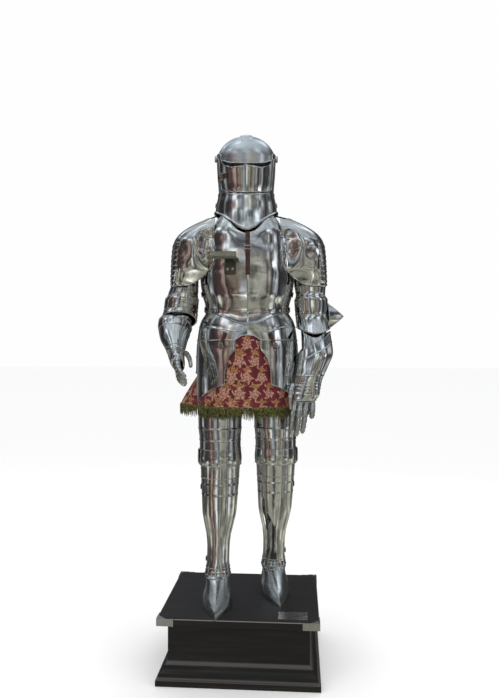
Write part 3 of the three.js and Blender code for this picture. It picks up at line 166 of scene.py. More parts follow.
LEG = table("z a front back", """
    96 50 50 54
    120 46 46 49
    150 43.5 45 45
    190 43.5 45 46
    240 47.5 48 54
    285 57 53 66
    330 66 57 78
    375 69 60 82
    430 72 64 76
    465 74 68 70
    515 77 76 68
    546 81 84 70
    578 80 82 74
    610 80 82 78
    655 84 85 82
    720 85 86 86
    830 74 80 80""")
LEFT_LEG_LINE = table("z x y", """
    96 107 48
    540 113 -2
    720 112 -2
    860 106 0""")
RIGHT_LEG_LINE = table("z x y", """
    96 -115 -65
    546 -106 -40
    720 -108 -26
    860 -104 -12""")
FOOT = table("z toe half heel point", """
    0.3 226 54 74 1
    14 214 57 75 1
    32 176 56 74 0.8
    52 128 50 70 0.5
    74 84 46 63 0.2
    95.6 50 50 54 0""")
POINTED = table("around ahead aside", """
    0 1 0
    18 0.86 0.3
    36 0.66 0.66
    54 0.42 0.94
    72 0.2 1
    90 0 0.93""")
TASSET_EDGE = table("z x", """
    831 85
    870 84
    900 80
    935 66
    963 46
    992 44""")
TASSET_FOOT = table("part z", """
    0 831
    0.3 813
    0.6 790
    0.85 768
    1 755""")
HIP_FOOT = table("around z", """
    72 866
    95 872
    130 896""")
WAIST = table("around z", """
    -8 1059
    0 1057
    8 1059
    18 1070
    30 1084
    45 1096
    60 1102
    90 1106
    130 1096
    180 1086""")
FAULD_FOOT = table("around z", """
    0 1014
    5 1012
    10 1001
    13 995
    130 995
    180 960""")
BREAST_SPAN = table("z around", """
    1057 88
    1226 88
    1262 80
    1310 68
    1380 64
    1430 68""")
BREAST_NECK = table("around z", """
    0 1444
    30 1464
    60 1484""")
BACK_NECK = table("around z", """
    0 1462
    60 1478""")
BROW = table("around z", """
    0 1668
    30 1674
    52 1690
    60 1694
    66 1583
    120 1572
    180 1560""")
SLIT = table("around z", """
    0 1665
    9 1661
    24 1659
    38 1667
    52 1685
    60 1722
    70 1729
    90 1731""")
FACE_FOOT = table("around z", """
    0 1557
    30 1563
    58 1580
    63 1702
    90 1705""")
BEVOR_TOP = table("around z", """
    0 1556.5
    30 1562.5
    58 1579.5
    66 1582.5""")
BEVOR_FOOT = table("around z", """
    -14 1422
    0 1409
    14 1422
    28 1447
    50 1476
    80 1497
    120 1490
    180 1470""")
FOLDS = table("around width out", """
    -172 15 13
    -148 13 17
    -124 14 14
    -101 13 18
    -82 10 9
    -52 14 4
    -24 15 5
    4 16 8
    31 13 5
    56 13 4
    82 11 9
    104 13 16
    128 14 15
    153 13 17""")
SKIRT_TOP, SKIRT_HEM, FLARE_FROM, FLARE = 1026, 756, 866, 54
SKIRT_INSET, SKIRT_BAND = 8.5, 4.1
print("tables:", len(TORSO["z"]), "body sections,", len(LEG["z"]), "leg sections")

# %% [markdown]
# ## Curves and surfaces
# A polished plate shows every kink, so the sizes between two rows come from a smooth curve
# that never overshoots. Blurring it a little along the height hides the joints of its
# stretches, as a hammer and a polishing wheel do. A surface is then a function of two
# numbers: the angle around the body or limb, and the height.


# %% A smooth curve through a table
def curve(rows, column, at, blur=0.0):
    """Hermite cubics between the rows. The slope at a row is the harmonic mean of the chords
    on both sides, or zero where they point different ways. Past the ends it runs on straight.
    With a blur, the value is a weighted mean of five values around the station."""
    if blur:
        parts = ((-1.6, 0.1), (-0.8, 0.24), (0, 0.32), (0.8, 0.24), (1.6, 0.1))
        return sum(weight * curve(rows, column, at + away * blur) for away, weight in parts)
    x, y = next(iter(rows.values())), rows[column]
    chord = np.diff(y) / np.diff(x)
    product = chord[1:] * chord[:-1]
    total = np.where(product > 0, chord[1:] + chord[:-1], 1)
    slope = np.concatenate([chord[:1], np.where(product > 0, 2 * product / total, 0), chord[-1:]])
    at = np.asarray(at, float)
    i = np.clip(np.searchsorted(x, at, side="right") - 1, 0, len(x) - 2)
    span = x[i + 1] - x[i]
    along = (at - x[i]) / span
    t = np.clip(along, 0, 1)
    value = (2 * t**3 - 3 * t**2 + 1) * y[i] + (t**3 - 2 * t**2 + t) * span * slope[i]
    value += (3 * t**2 - 2 * t**3) * y[i + 1] + (t**3 - t**2) * span * slope[i + 1]
    return value + (along - t) * span * np.where(along > t, slope[-1], slope[0])


def smooth(low, high, value):
    """Zero below low, one above high, and three t squared minus two t cubed between them."""
    t = np.clip((value - low) / (high - low), 0, 1)
    return t * t * (3 - 2 * t)


def full(value, power):
    """A sine or cosine raised to a power below one, which makes a round section squarer."""
    return value * ((value * value + 0.004) / 1.004) ** ((power - 1) / 2)


def around_parts(around):
    """Sine and cosine of an angle in degrees. The front is at 0 and the left side at 90."""
    turn = np.radians(around)
    return np.sin(turn), np.cos(turn)


def stack(x, y, z):
    """Points from three coordinates, each of them a grid or a single number."""
    return np.stack(np.broadcast_arrays(x, y, z), axis=-1).astype(float)


def spread(*stretches):
    """Even steps over several stretches. Each is a first value, a last value and a count."""
    return np.concatenate([np.linspace(*stretch) for stretch in stretches])


# %% Surfaces of the body, helm and shoulders
def torso(around, z):
    """Squarish oval sections with a raised ridge down the middle of the chest. The ridge
    falls off with the square of the distance from the middle."""
    sine, cosine = around_parts(around)
    x = curve(TORSO, "half", z, 7) * full(sine, TORSO_FULLNESS)
    depth = np.where(cosine > 0, curve(TORSO, "front", z, 7), curve(TORSO, "back", z, 7))
    near = np.clip(1 - np.abs(x) / 66, 0, 1) ** 1.7
    ridge = np.where(cosine > 0, 9 * near * np.clip((z - 1000) / 60, 0, 1), 0)
    return stack(x, -depth * full(cosine, TORSO_FULLNESS) - ridge, z)


def torso_angle(x, z):
    """The angle at which the body has a given x: the arc sine of x over the half width."""
    share = np.clip(x / curve(TORSO, "half", z, 7), -1, 1)
    return np.degrees(np.arcsin(np.sign(share) * np.abs(share) ** (1 / TORSO_FULLNESS)))


def chest(x, z):
    """The body's surface at a given x instead of an angle."""
    return torso(torso_angle(x, z), z)


def helm(around, z):
    """Oval sections up to the temples, and above them half an ellipsoid."""
    sine, cosine = around_parts(around)
    rise = np.clip((np.asarray(z, float) - DOME_FOOT) / DOME_RISE, 0, 1)
    low = np.minimum(z, DOME_FOOT)
    shrink = np.sqrt(1 - rise * rise)
    depth = np.where(cosine > 0, curve(HELM, "front", low, 5), curve(HELM, "back", low, 5))
    x = HELM_X + curve(HELM, "half", low, 5) * sine * shrink
    return stack(x, -depth * cosine * shrink, z)


def face(around, z):
    """The helm's surface with a keel down the middle of the face plate."""
    point = helm(around, z)
    point[..., 1] -= 5.5 * np.clip(1 - np.abs(around) / 44, 0, 1) ** 1.5
    return point


POINT_X, POINT_Z, CREASE_LOW, CREASE_HIGH, MOST_BEND = 282, 1372, 193, 258, 34
NARROWER, DISH = {1: 0, -1: 12}, {1: 9, -1: 5}


def shoulder(side, dish):
    """Squarish half ovals standing out from the body. Between two creases that spread from the
    shoulder's point, the front is dished by a sine across the sector. Towards its inner edge
    the plate is bent back until it nearly lies on the breast."""
    def surface(around, z):
        sine, cosine = around_parts(around)
        half = curve(SHOULDER, "half", z, 6) - NARROWER[side]
        depth = np.where(cosine > 0, curve(SHOULDER, "front", z, 6), curve(SHOULDER, "back", z, 6))
        x = SHOULDER_X + half * full(sine, SHOULDER_FULLNESS)
        y = -depth * full(cosine, SHOULDER_FULLNESS)
        turn = np.degrees(np.arctan2(z - POINT_Z, x - POINT_X)) % 360
        reach = np.hypot(z - POINT_Z, x - POINT_X)
        sector = np.clip((turn - CREASE_LOW) / (CREASE_HIGH - CREASE_LOW), 0, 1)
        deep = dish * np.sin(np.pi * sector) * smooth(0, 70, reach) * smooth(-0.1, 0.3, cosine)
        near = (1 - smooth(2, 26, around)) * (1 - smooth(1385, 1445, z))
        breast = chest(np.minimum(x, 150), z)[..., 1] - 4
        bent = near * np.clip(breast - y - deep, 0, MOST_BEND)
        return stack(side * x, y + deep + bent, z)
    return surface


# %% Surfaces of the arms, legs and feet
def arm(rows):
    """Ovals along the arm's middle line, each leaning forwards by its pitch."""
    def surface(around, s):
        sine, cosine = around_parts(around)
        pitch = np.radians(curve(rows, "pitch", s, 6))
        y = -curve(rows, "b", s, 6) * cosine
        x = curve(rows, "x", s, 8) + curve(rows, "a", s, 6) * sine
        up = curve(rows, "z", s, 6) - y * np.sin(pitch)
        return stack(x, curve(rows, "y", s, 8) + y * np.cos(pitch), up)
    return surface


def leg(line):
    """Ovals along the leg's middle line, with a soft ridge down the shin and the knee."""
    def surface(around, z):
        sine, cosine = around_parts(around)
        depth = np.where(cosine > 0, curve(LEG, "front", z, 7), curve(LEG, "back", z, 7))
        away = np.abs((around + 180) % 360 - 180)
        shin = smooth(110, 160, z) * (1 - smooth(560, 640, z))
        ridge = 3.0 * np.clip(1 - away / 40, 0, 1) ** 1.6 * shin
        x = curve(line, "x", z) + curve(LEG, "a", z, 7) * sine
        return stack(x, curve(line, "y", z) - depth * cosine - ridge, z)
    return surface


def foot(line, yaw):
    """Rings that are round at the ankle and pointed at the sole, turned by the foot's yaw."""
    def surface(around, z):
        turn = np.abs(around)
        sine, cosine = around_parts(turn)
        half = curve(FOOT, "half", z, 3)
        point = np.clip(curve(FOOT, "point", z, 3), 0, 1)
        toe = curve(FOOT, "toe", z, 3)
        before = np.minimum(turn, 90)
        ahead = toe * (cosine * (1 - point) + curve(POINTED, "ahead", before) * point)
        aside = half * (sine * (1 - point) + curve(POINTED, "aside", before) * point)
        behind = turn >= 90
        ahead = np.where(behind, curve(FOOT, "heel", z, 3) * cosine, ahead)
        aside = np.where(behind, half * sine * (1 - 0.07 * point * (1 + cosine)), aside)
        x, y = np.sign(around) * aside, -ahead
        c, s = math.cos(math.radians(yaw)), math.sin(math.radians(yaw))
        return stack(line["x"][0] + x * c - y * s, line["y"][0] + x * s + y * c, z)
    return surface


# %% The skirt's surface
def fold_out(around):
    """Sum of the folds, each half a cosine wave across its own width."""
    away = np.abs((around[..., None] - FOLDS["around"] + 180) % 360 - 180)
    wave = 0.5 * (1 + np.cos(np.pi * np.minimum(away / FOLDS["width"], 1)))
    return (wave * FOLDS["out"]).sum(axis=-1)


def skirt(around, z):
    """The body's surface moved in under the plates, with folds and a flare that grow downwards."""
    around, z = np.broadcast_arrays(np.asarray(around, float), np.asarray(z, float))
    turn = np.abs((around + 180) % 360 - 180)
    drop = np.clip((FLARE_FROM - z) / (FLARE_FROM - SKIRT_HEM), 0, 1.3)
    rise = smooth(992, SKIRT_TOP, z)
    inset = SKIRT_INSET * (1 - rise) + SKIRT_BAND * rise
    folds = fold_out(around) * smooth(0, 130, FLARE_FROM + 30 - z)
    small = 0.7 * np.sin(np.radians(around) * 41 + z / 60) * smooth(0, 90, FLARE_FROM + 60 - z)
    lift = folds + small - inset + FLARE * smooth(72, 94, turn) * drop
    return skin(torso, around, z, lift)


def skin(surface, around, at, lift, side=1.0):
    """Points moved out along the surface's normal, the cross product of its two slopes."""
    across = surface(around + 0.5, at) - surface(around - 0.5, at)
    along = surface(around, at + 0.7) - surface(around, at - 0.7)
    normal = np.cross(across, along) * side
    normal /= np.maximum(np.linalg.norm(normal, axis=-1, keepdims=True), 1e-9)
    return surface(around, at) + normal * np.asarray(lift)[..., None]


print("surfaces: chest front at", torso(np.array(0.0), np.array(1250.0)).round(1))

# %% [markdown]
# ## From grids to meshes
# A shape here is an array of points and a list of face arrays, so it can be joined, moved and
# measured without touching Blender. A plate is two skins of points, stitched along every
# edge. Its edge is rolled outwards over a wire on the real thing, which is a half circle in
# the plate's profile.


# %% Faces of a grid, walls and joined shapes
def quads(rows, cols, loop_rows=False, loop_cols=False):
    """The faces of a grid of points, four point numbers each, closed round where asked."""
    index = np.arange(rows * cols).reshape(rows, cols)
    if loop_rows:
        index = np.vstack([index, index[:1]])
    if loop_cols:
        index = np.hstack([index, index[:, :1]])
    corners = [index[:-1, :-1], index[:-1, 1:], index[1:, 1:], index[1:, :-1]]
    return np.stack(corners, axis=-1).reshape(-1, 4)


def outward(points, faces):
    """Turns a closed shape's faces round where its signed volume is below zero."""
    volume = 0.0
    for block in faces:
        for k in range(1, block.shape[1] - 1):
            a, b, c = (points[block[:, i]] for i in (0, k, k + 1))
            volume += np.einsum("ij,ij->", a, np.cross(b, c))
    return points, [block[:, ::-1] for block in faces] if volume < 0 else faces


def joined(*shapes):
    """Several shapes as one: each shape's point numbers move on by the points before it."""
    points, faces, start = [], [], 0
    for shape_points, shape_faces in shapes:
        points.append(shape_points)
        faces += [block + start for block in shape_faces]
        start += len(shape_points)
    return np.concatenate(points), faces


def wall(outer, inner, closed=False):
    """Two skins of rows of points, stitched along every open edge."""
    rows, cols = outer.shape[:2]
    points = np.concatenate([outer, inner[::-1]]).reshape(-1, 3)
    faces = [quads(2 * rows, cols, True, closed)]
    if not closed:
        r = np.arange(rows - 1)
        for c in (0, cols - 1):
            out, back = r * cols + c, (2 * rows - 1 - r) * cols + c
            side = np.stack([out, back, back - cols, out + cols], axis=-1)
            faces.append(side if c else side[:, ::-1])
    return outward(points, faces)


def loft(rings):
    """Rings of points joined in turn, with a flat face over each end."""
    rows, cols = rings.shape[:2]
    ends = [np.arange(cols)[None, ::-1], np.arange((rows - 1) * cols, rows * cols)[None]]
    return outward(rings.reshape(-1, 3), [quads(rows, cols, False, True), *ends])


# %% Plates
def roll(edge, radius=RIM, base=0.0, top=False):
    """Stops of a rolled edge: the profile climbs over a half circle and ends at the edge."""
    turn = np.radians(np.linspace(0, 180, 7))
    way = -radius if top else radius
    stops = [(edge + way * (1 + math.cos(t)), base + 1.1 * radius * math.sin(t), 1) for t in turn]
    return stops[::-1] if top else stops


def lame(at, high=RIM, count=6):
    """Stops where one lame ends on the next: a small rise, an edge and a narrow dark gap."""
    return [(at + 5, 0.2, count), (at + 0.8, high, 2), (at - 0.4, high, 1),
            (at - 1.1, -1.0, 1), (at - 2.4, 0.1, 1)]


def plate(surface, around, stops, inside=-STEEL, side=1.0, closed=False, turn=None, relief=None):
    """A wall on a surface. Each stop is a height, a lift and a count of even steps that lead
    to it. `turn` gives the angle from a column's value and the height, and `relief` is a
    further lift of the outer skin."""
    around = np.asarray(around, float)
    at, lift = [], []
    for height, raised, count in stops:
        height = np.broadcast_to(np.asarray(height, float), around.shape)
        raised = np.broadcast_to(np.asarray(raised, float), around.shape)
        start = (at[-1], lift[-1]) if at else (height, raised)
        for share in np.linspace(0, 1, count + 1)[1:]:
            at.append(start[0] + (height - start[0]) * share)
            lift.append(start[1] + (raised - start[1]) * share)
    at, lift = np.array(at), np.array(lift)
    angle = turn(around, at) if turn else np.broadcast_to(around, at.shape)
    if relief:
        lift = lift + relief(angle, at)
    outer, inner = (skin(surface, angle, at, out, side) for out in (lift, inside))
    return wall(outer, inner, closed)


def ring(count):
    """Angles of a full circle, from the back round to the back."""
    return np.linspace(-180, 180, count, endpoint=False)


def at_angle(rows, column="z"):
    """A table over the angle as a function that is the same on the left and the right."""
    return lambda around: curve(rows, column, np.abs(around))


def between(first, last, share):
    """The first value plus a share of the way to the last."""
    return first + (last - first) * share


# %% Tubes, ribbons, domes and buckles
def unit(vectors):
    """Vectors divided by their lengths."""
    return vectors / np.maximum(np.linalg.norm(vectors, axis=-1, keepdims=True), 1e-9)


def tube(path, radius, sides=12, up=(0.0, 0.0, 1.0), flat=1.0, closed=False):
    """Rings square to a path: each point is the path's, plus the radius times the cosine along
    one side axis and the sine along the other."""
    path = np.asarray(path, float)
    ahead = np.roll(path, -1, 0) - np.roll(path, 1, 0) if closed else np.gradient(path, axis=0)
    side_axis = unit(np.cross(unit(ahead), np.asarray(up, float)))
    up_axis = np.cross(side_axis, unit(ahead))
    turn = np.arange(sides) / sides * 2 * np.pi
    radius = np.broadcast_to(radius, (len(path),))[:, None, None]
    cosine, sine = np.cos(turn)[:, None], np.sin(turn)[:, None]
    offset = cosine * side_axis[:, None] + flat * sine * up_axis[:, None]
    rings = path[:, None] + radius * offset
    if closed:
        return outward(rings.reshape(-1, 3), [quads(len(path), sides, True, True)])
    return loft(rings)


def ribbon(path, normal, width, thick, top=0.35):
    """A strap: a flat section with rounded corners carried along a path. Its width lies across
    the path and the normal."""
    ahead = unit(np.gradient(path, axis=0))
    across = unit(np.cross(ahead, normal))
    half, round_ = width / 2, min(thick * top, width * 0.1)
    section = np.array([(-half, 0), (-half, thick - round_), (-half + round_, thick),
                        (half - round_, thick), (half, thick - round_), (half, 0)])
    aside, raised = section[:, 0, None], section[:, 1, None]
    return loft(path[:, None] + aside * across[:, None] + raised * normal[:, None])


def domes(points, normals, radius=2.2, high=0.6):
    """Rivet heads: four rings of a flattened half sphere, repeated at every point at once."""
    points, normals = np.asarray(points, float), unit(np.asarray(normals, float))
    helper = np.where(np.abs(normals[:, 2:]) < 0.9, np.array([0.0, 0, 1]), np.array([1.0, 0, 0]))
    first = unit(np.cross(normals, helper))
    second = np.cross(normals, first)
    rings = np.array([(1.0, -0.3), (1.0, 0.0), (0.82, 0.55), (0.4, 0.92)])
    sides, each = 10, len(rings) * 10
    turn = np.arange(sides) / sides * 2 * np.pi
    cosine, sine = np.cos(turn)[None, :, None], np.sin(turn)[None, :, None]
    offset = cosine * first[:, None] + sine * second[:, None]
    body = points[:, None, None] + radius * rings[:, 0, None, None] * offset[:, None]
    body = body + radius * high * rings[:, 1, None, None] * normals[:, None, None]
    starts = np.arange(len(points))[:, None, None] * each
    flanks = (quads(len(rings), sides, False, True) + starts).reshape(-1, 4)
    caps = np.stack([np.arange(sides)[::-1], np.arange(each - sides, each)])
    return outward(body.reshape(-1, 3), [flanks, (caps + starts).reshape(-1, sides)])


def seat(surface, around, at, lift=0.0, side=1.0):
    """A point on a surface with its normal, the way down and the way across."""
    around, at = np.broadcast_arrays(np.asarray(around, float), np.asarray(at, float))
    point = skin(surface, around, at, np.full(at.shape, lift), side)
    normal = unit(skin(surface, around, at, np.full(at.shape, lift + 1.0), side) - point)
    down = unit(surface(around, at - 0.5) - surface(around, at + 0.5))
    return point, normal, down, np.cross(down, normal)


def buckle(point, normal, down, across, wide, high, wire=1.3):
    """A rounded rectangle of wire, with a middle bar and a tongue."""
    turn = np.linspace(0, 2 * np.pi, 28, endpoint=False)
    x = wide / 2 * full(np.cos(turn), 0.35)
    y = high / 2 * full(np.sin(turn), 0.35)
    loop = point + x[:, None] * across + y[:, None] * down
    bar = point + np.linspace(-wide / 2, wide / 2, 5)[:, None] * across
    tongue = point + np.linspace(-high / 2, high * 0.1, 5)[:, None] * down + normal * wire
    return joined(tube(loop, wire, 8, normal, closed=True), tube(bar, wire * 0.8, 8, normal),
                  tube(tongue, wire * 0.6, 8, normal))


# %% Putting a shape into the scene
def placed(points):
    """Armour millimetres to metres in the object's frame: a turn about Z and a shift."""
    c, s = math.cos(math.radians(STAND_TURN)), math.sin(math.radians(STAND_TURN))
    x = STAND_X + points[:, 0] * c - points[:, 1] * s
    y = STAND_Y + points[:, 0] * s + points[:, 1] * c
    return np.stack([x, y, STAND_Z + points[:, 2]], axis=-1) / 1000


TRIANGLES = {}


def make(name, shape, finish, nodes=(), body="armour", own_frame=True, sharp=34):
    """One mesh object from a shape, with its material, the body it rides on and the model's
    nodes that it stands for."""
    points, faces = shape
    points = placed(points) if own_frame else points / 1000
    sizes = np.concatenate([np.full(len(block), block.shape[1]) for block in faces])
    loops = np.concatenate([block.ravel() for block in faces])
    mesh = bpy.data.meshes.new(name)
    mesh.vertices.add(len(points))
    mesh.vertices.foreach_set("co", points.ravel())
    mesh.loops.add(len(loops))
    mesh.loops.foreach_set("vertex_index", loops.astype(np.int32))
    mesh.polygons.add(len(sizes))
    mesh.polygons.foreach_set("loop_start", (np.cumsum(sizes) - sizes).astype(np.int32))
    mesh.update(calc_edges=True)
    mesh.validate()
    mesh.shade_smooth()
    mesh.set_sharp_from_angle(angle=math.radians(sharp))
    piece = bpy.data.objects.new(name, mesh)
    bpy.context.scene.collection.objects.link(piece)
    mesh.materials.append(FINISHES[finish])
    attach(piece, body)
    if nodes:
        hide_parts(*nodes)
    TRIANGLES[name] = int((sizes - 2).sum())
    print("made:", name, TRIANGLES[name], "triangles on", body)
    return piece


# %% [markdown]
# ## Shader sums
# Blender's shader maths is a chain of Math nodes. Wrapping a socket in a small class lets the
# same chain be written as a Python sum, which is far easier to read and to change. One method
# makes every other kind of node.


# %% A socket that can be added, scaled and compared
class Link:
    """An output socket of a node tree, or the start of one."""

    def __init__(self, tree, socket=None):
        self.tree, self.socket = tree, socket

    def node(self, kind, settings=None, values=None, out=0):
        """Makes a node: its settings are set first, then its sockets are filled or linked."""
        made = self.tree.nodes.new("ShaderNode" + kind)
        for key, value in (settings or {}).items():
            if key == "stops":
                elements = made.color_ramp.elements
                while len(elements) < len(value):
                    elements.new(0.5)
                for element, (place, color) in zip(elements, value):
                    element.position = place
                    element.color = (*color, 1)
            else:
                setattr(made, key, value)
        for key, value in (values or {}).items():
            if isinstance(value, Link):
                self.tree.links.new(value.socket, made.inputs[key])
            else:
                made.inputs[key].default_value = value
        return Link(self.tree, made.outputs[out])

    def math(self, operation, *values):
        """A Math node on the given values. This link only says in which tree."""
        return self.node("Math", {"operation": operation}, dict(enumerate(values)))

    def __add__(self, other):
        return self.math("ADD", self, other)

    def __sub__(self, other):
        return self.math("SUBTRACT", self, other)

    def __rsub__(self, other):
        return self.math("SUBTRACT", other, self)

    def __mul__(self, other):
        return self.math("MULTIPLY", self, other)

    def __truediv__(self, other):
        return self.math("DIVIDE", self, other)

    def __pow__(self, other):
        return self.math("POWER", self, other)

    def __lt__(self, other):
        return self.math("LESS_THAN", self, other)

    def __gt__(self, other):
        return self.math("GREATER_THAN", self, other)

    __radd__, __rmul__ = __add__, __mul__

    def sine(self):
        return self.math("SINE", self)

    def cosine(self):
        return self.math("COSINE", self)

    def absolute(self):
        return self.math("ABSOLUTE", self)

    def most(self, other):
        """The larger of two values, which joins two masks."""
        return self.math("MAXIMUM", self, other)

    def output(self, index):
        """Another output of the same node, such as the Z of a Separate XYZ."""
        return Link(self.tree, self.socket.node.outputs[index])

    def fade(self, low, high):
        """Zero at low and one at high, smooth between them."""
        values = {"Value": self, "From Min": low, "From Max": high}
        return self.node("MapRange", {"interpolation_type": "SMOOTHSTEP"}, values)

    def noise(self, scale, detail=3.0, rough=0.5, stretch=(1, 1, 1)):
        """Noise at these coordinates, stretched first where a pattern runs one way."""
        at = self.node("Mapping", None, {"Vector": self, "Scale": stretch})
        values = {"Vector": at, "Scale": scale, "Detail": detail, "Roughness": rough}
        return at.node("TexNoise", None, values)

    def blend(self, first, second):
        """Mixes two colours by this mask."""
        keys = {"Factor": self, "A": first, "B": second}
        made = self.tree.nodes.new("ShaderNodeMix")
        made.data_type = "RGBA"
        for key, place in (("Factor", 0), ("A", 6), ("B", 7)):
            value = keys[key]
            if isinstance(value, Link):
                self.tree.links.new(value.socket, made.inputs[place])
            else:
                made.inputs[place].default_value = value if key == "Factor" else (*value, 1)
        return Link(self.tree, made.outputs[2])


FINISHES = {}


def finish(name, color, rough, height=None, metal=0.0, fixed=None):
    """A material from a base colour, a roughness and a height in metres, which goes through a
    Bump node. Values that are the same everywhere are set on the shader itself."""
    material = FINISHES[name]
    shader = material.node_tree.nodes["Principled BSDF"]
    values = {"Base Color": color, "Roughness": rough, "Metallic": metal, **(fixed or {})}
    for key, value in values.items():
        if isinstance(value, Link):
            material.node_tree.links.new(value.socket, shader.inputs[key])
        else:
            shader.inputs[key].default_value = (*value, 1) if isinstance(value, tuple) else value
    if height is not None:
        bump = height.node("Bump", None, {"Height": height, "Distance": 1.0, "Strength": 1.0})
        material.node_tree.links.new(bump.socket, shader.inputs["Normal"])
    print("finish:", name, len(material.node_tree.nodes), "nodes")


def start(name, output="Object"):
    """A new material and the coordinates that its pattern reads."""
    material = bpy.data.materials.new(name)
    material.use_nodes = True
    FINISHES[name] = material
    tree = Link(material.node_tree)
    return tree.node("TexCoord", None, None, output)


# %% [markdown]
# ## Steel
# Polished steel has almost no colour of its own: it shows the room. What makes it look real is
# that the plate isn't perfectly even. Hammering leaves shallow waves a few centimetres long,
# polishing leaves fine lines, and hands leave a haze that makes some patches less sharp.


# %% Mirror, satin and worn steel, nickel
def steel(name, color, dark, low, high, wave, fine):
    """Metal between a clean colour and a dark one, and between a low and a high roughness, by
    one mask of haze. The height is long waves plus fine lines, in metres."""
    at = start(name)
    haze = at.noise(7, 4, 0.6)
    spots = at.noise(38, 5, 0.65)
    lines = at.noise(260, 2, 0.5, (1, 1, 0.12))
    mask = (haze * 0.65 + spots * 0.35).fade(0.42, 0.66)
    stain = at.noise(15, 6, 0.7).fade(0.56, 0.78)
    shade = (mask * 0.45 + stain * 0.45).blend(color, dark)
    rough = low + (high - low) * mask + 0.05 * stain
    waves = at.noise(9, 1.5, 0.4) * wave + at.noise(24, 1, 0.4) * (wave * 0.22)
    finish(name, shade, rough, waves + lines * fine + spots * (fine * 0.8), 1.0)


steel("mirror", (0.68, 0.69, 0.69), (0.46, 0.46, 0.44), 0.06, 0.17, 0.0026, 0.000006)
steel("satin", (0.66, 0.69, 0.72), (0.50, 0.52, 0.54), 0.28, 0.38, 0.0010, 0.00001)
steel("worn", (0.58, 0.60, 0.60), (0.32, 0.33, 0.31), 0.17, 0.34, 0.0014, 0.000005)
steel("nickel", (0.68, 0.66, 0.62), (0.45, 0.43, 0.40), 0.20, 0.30, 0.0004, 0.000002)
steel("dull_satin", (0.44, 0.45, 0.42), (0.12, 0.12, 0.10), 0.22, 0.36, 0.0012, 0.000005)
# A darker copy of the satin steel: painted shade for the lance rest's base plate, which lies in
# shadow.
steel("satin_painted_shade", (0.17, 0.17, 0.15), (0.08, 0.08, 0.07), 0.30, 0.42, 0.0010, 0.000005)

# %% [markdown]
# ## Leather and wood
# Strap leather is darker in its pores and lighter where it bends. The plinth is a dark
# lacquered wood: a little grain shows through a satin coat. A painted highlight lightens the
# slab's top edges and two ledges of the moulding.

# %% Leather and lacquered wood
at = start("leather")
pores = at.noise(900, 3, 0.6)
patch = at.noise(45, 4, 0.6)
finish("leather", patch.fade(0.35, 0.7).blend((0.028, 0.008, 0.007), (0.075, 0.021, 0.016)),
       0.38 + 0.22 * patch, pores * 0.00012)

at = start("wood")
grain = at.noise(60, 5, 0.65, (0.06, 1, 1))
cloud = at.noise(6, 4, 0.6)
place = at.node("SeparateXYZ", None, {"Vector": at})
height = place.output(2)
# Painted highlight: a light line along the slab's top edges, where its bevel would catch the light.
edge_x = place.absolute().fade(0.2872, 0.2892)
edge_y = place.output(1).absolute().fade(0.2472, 0.2492)
top_edge_highlight = edge_x.most(edge_y) * height.fade(0.2365, 0.2392)
shade = grain.fade(0.42, 0.68).blend((0.005, 0.004, 0.0035), (0.013, 0.009, 0.008))
shade = (top_edge_highlight * 0.8).blend(shade, (0.24, 0.21, 0.19))
# Painted highlight: light bands on the top of the tall step and on the small cove of the moulding.
step_highlight = height.fade(0.0195, 0.0225) * (1 - height.fade(0.0265, 0.032))
cove_highlight = height.fade(0.064, 0.067) * (1 - height.fade(0.074, 0.08))
shade = ((step_highlight + cove_highlight) * 0.8).blend(shade, (0.075, 0.07, 0.067))
COAT = {"Coat Weight": 0.12, "Coat Roughness": 0.25, "Specular IOR Level": 0.4}
finish("wood", shade, 0.34 + 0.2 * cloud, grain * 0.00012, 0.0, COAT)

# %% [markdown]
# ## Brocade and bullion
# The skirt is a crimson silk brocade with gold flowers and leaf sprays. The pattern is drawn
# with sums on the cloth's own unrolled coordinates: a flower is the region inside a radius that
# swings with the angle, and a leaf spray is the same with a sharper swing. Every other row is
# moved by half a repeat.

# %% Brocade
REPEAT_WIDE, REPEAT_HIGH, THREAD = 0.058, 0.064, 0.0011
uv = start("brocade", "UV")
wobble = uv.noise(34, 2, 0.5)
wobble_2 = uv.noise(51, 2, 0.5, (1, 0.8, 1))
parts = uv.node("SeparateXYZ", None, {"Vector": uv})
u = parts + wobble * 0.022
v = parts.output(1) + wobble_2 * 0.022


def motif(u, v, across, down):
    """Distance in millimetres and angle from the middle of the nearest motif of a lattice. Each
    motif is turned and sized by the sine of its own row and column numbers."""
    tall = v / REPEAT_HIGH + down
    row = tall.math("FLOOR", tall)
    wide = u / REPEAT_WIDE + row.math("MODULO", row, 2.0) * 0.5 + across
    column = wide.math("FLOOR", wide)
    chance = (row * 12.7 + column * 7.3).sine()
    x = (wide - column - 0.5) * (REPEAT_WIDE * 1000)
    y = (tall - row - 0.5) * (REPEAT_HIGH * 1000)
    away = (x * x + y * y) ** 0.5
    return away * (1.0 + 0.16 * chance), y.math("ARCTAN2", y, x) + chance * 3.0


def petals(angle, count, turn=0.0):
    """A cosine that swings once for each petal."""
    return (angle * count + turn).cosine()


def petal_mask(away, angle, size, swing, count, turn):
    """A flower: inside the swinging radius, less a ring and the lines between its petals."""
    wave = petals(angle, count, turn)
    edge = size + swing * wave
    ring_line = (away - edge * 0.58).absolute() > 0.8
    gaps = (wave > -0.86).most(away < size * 0.4)
    return (away < edge) * ring_line * gaps * (away > size * 0.13)


def spray_mask(away, angle, inner, reach, count, turn):
    """A spray: narrow leaves where the cosine is high, from an inner radius to their tips. The
    angle grows with the radius, so the leaves curl."""
    leaf = petals(angle + away * 0.03, count, turn)
    tip = inner + reach * leaf.fade(0.45, 1.0) * (0.75 + 0.35 * petals(angle, 1, turn))
    return (away < tip) * (away > inner - 1)


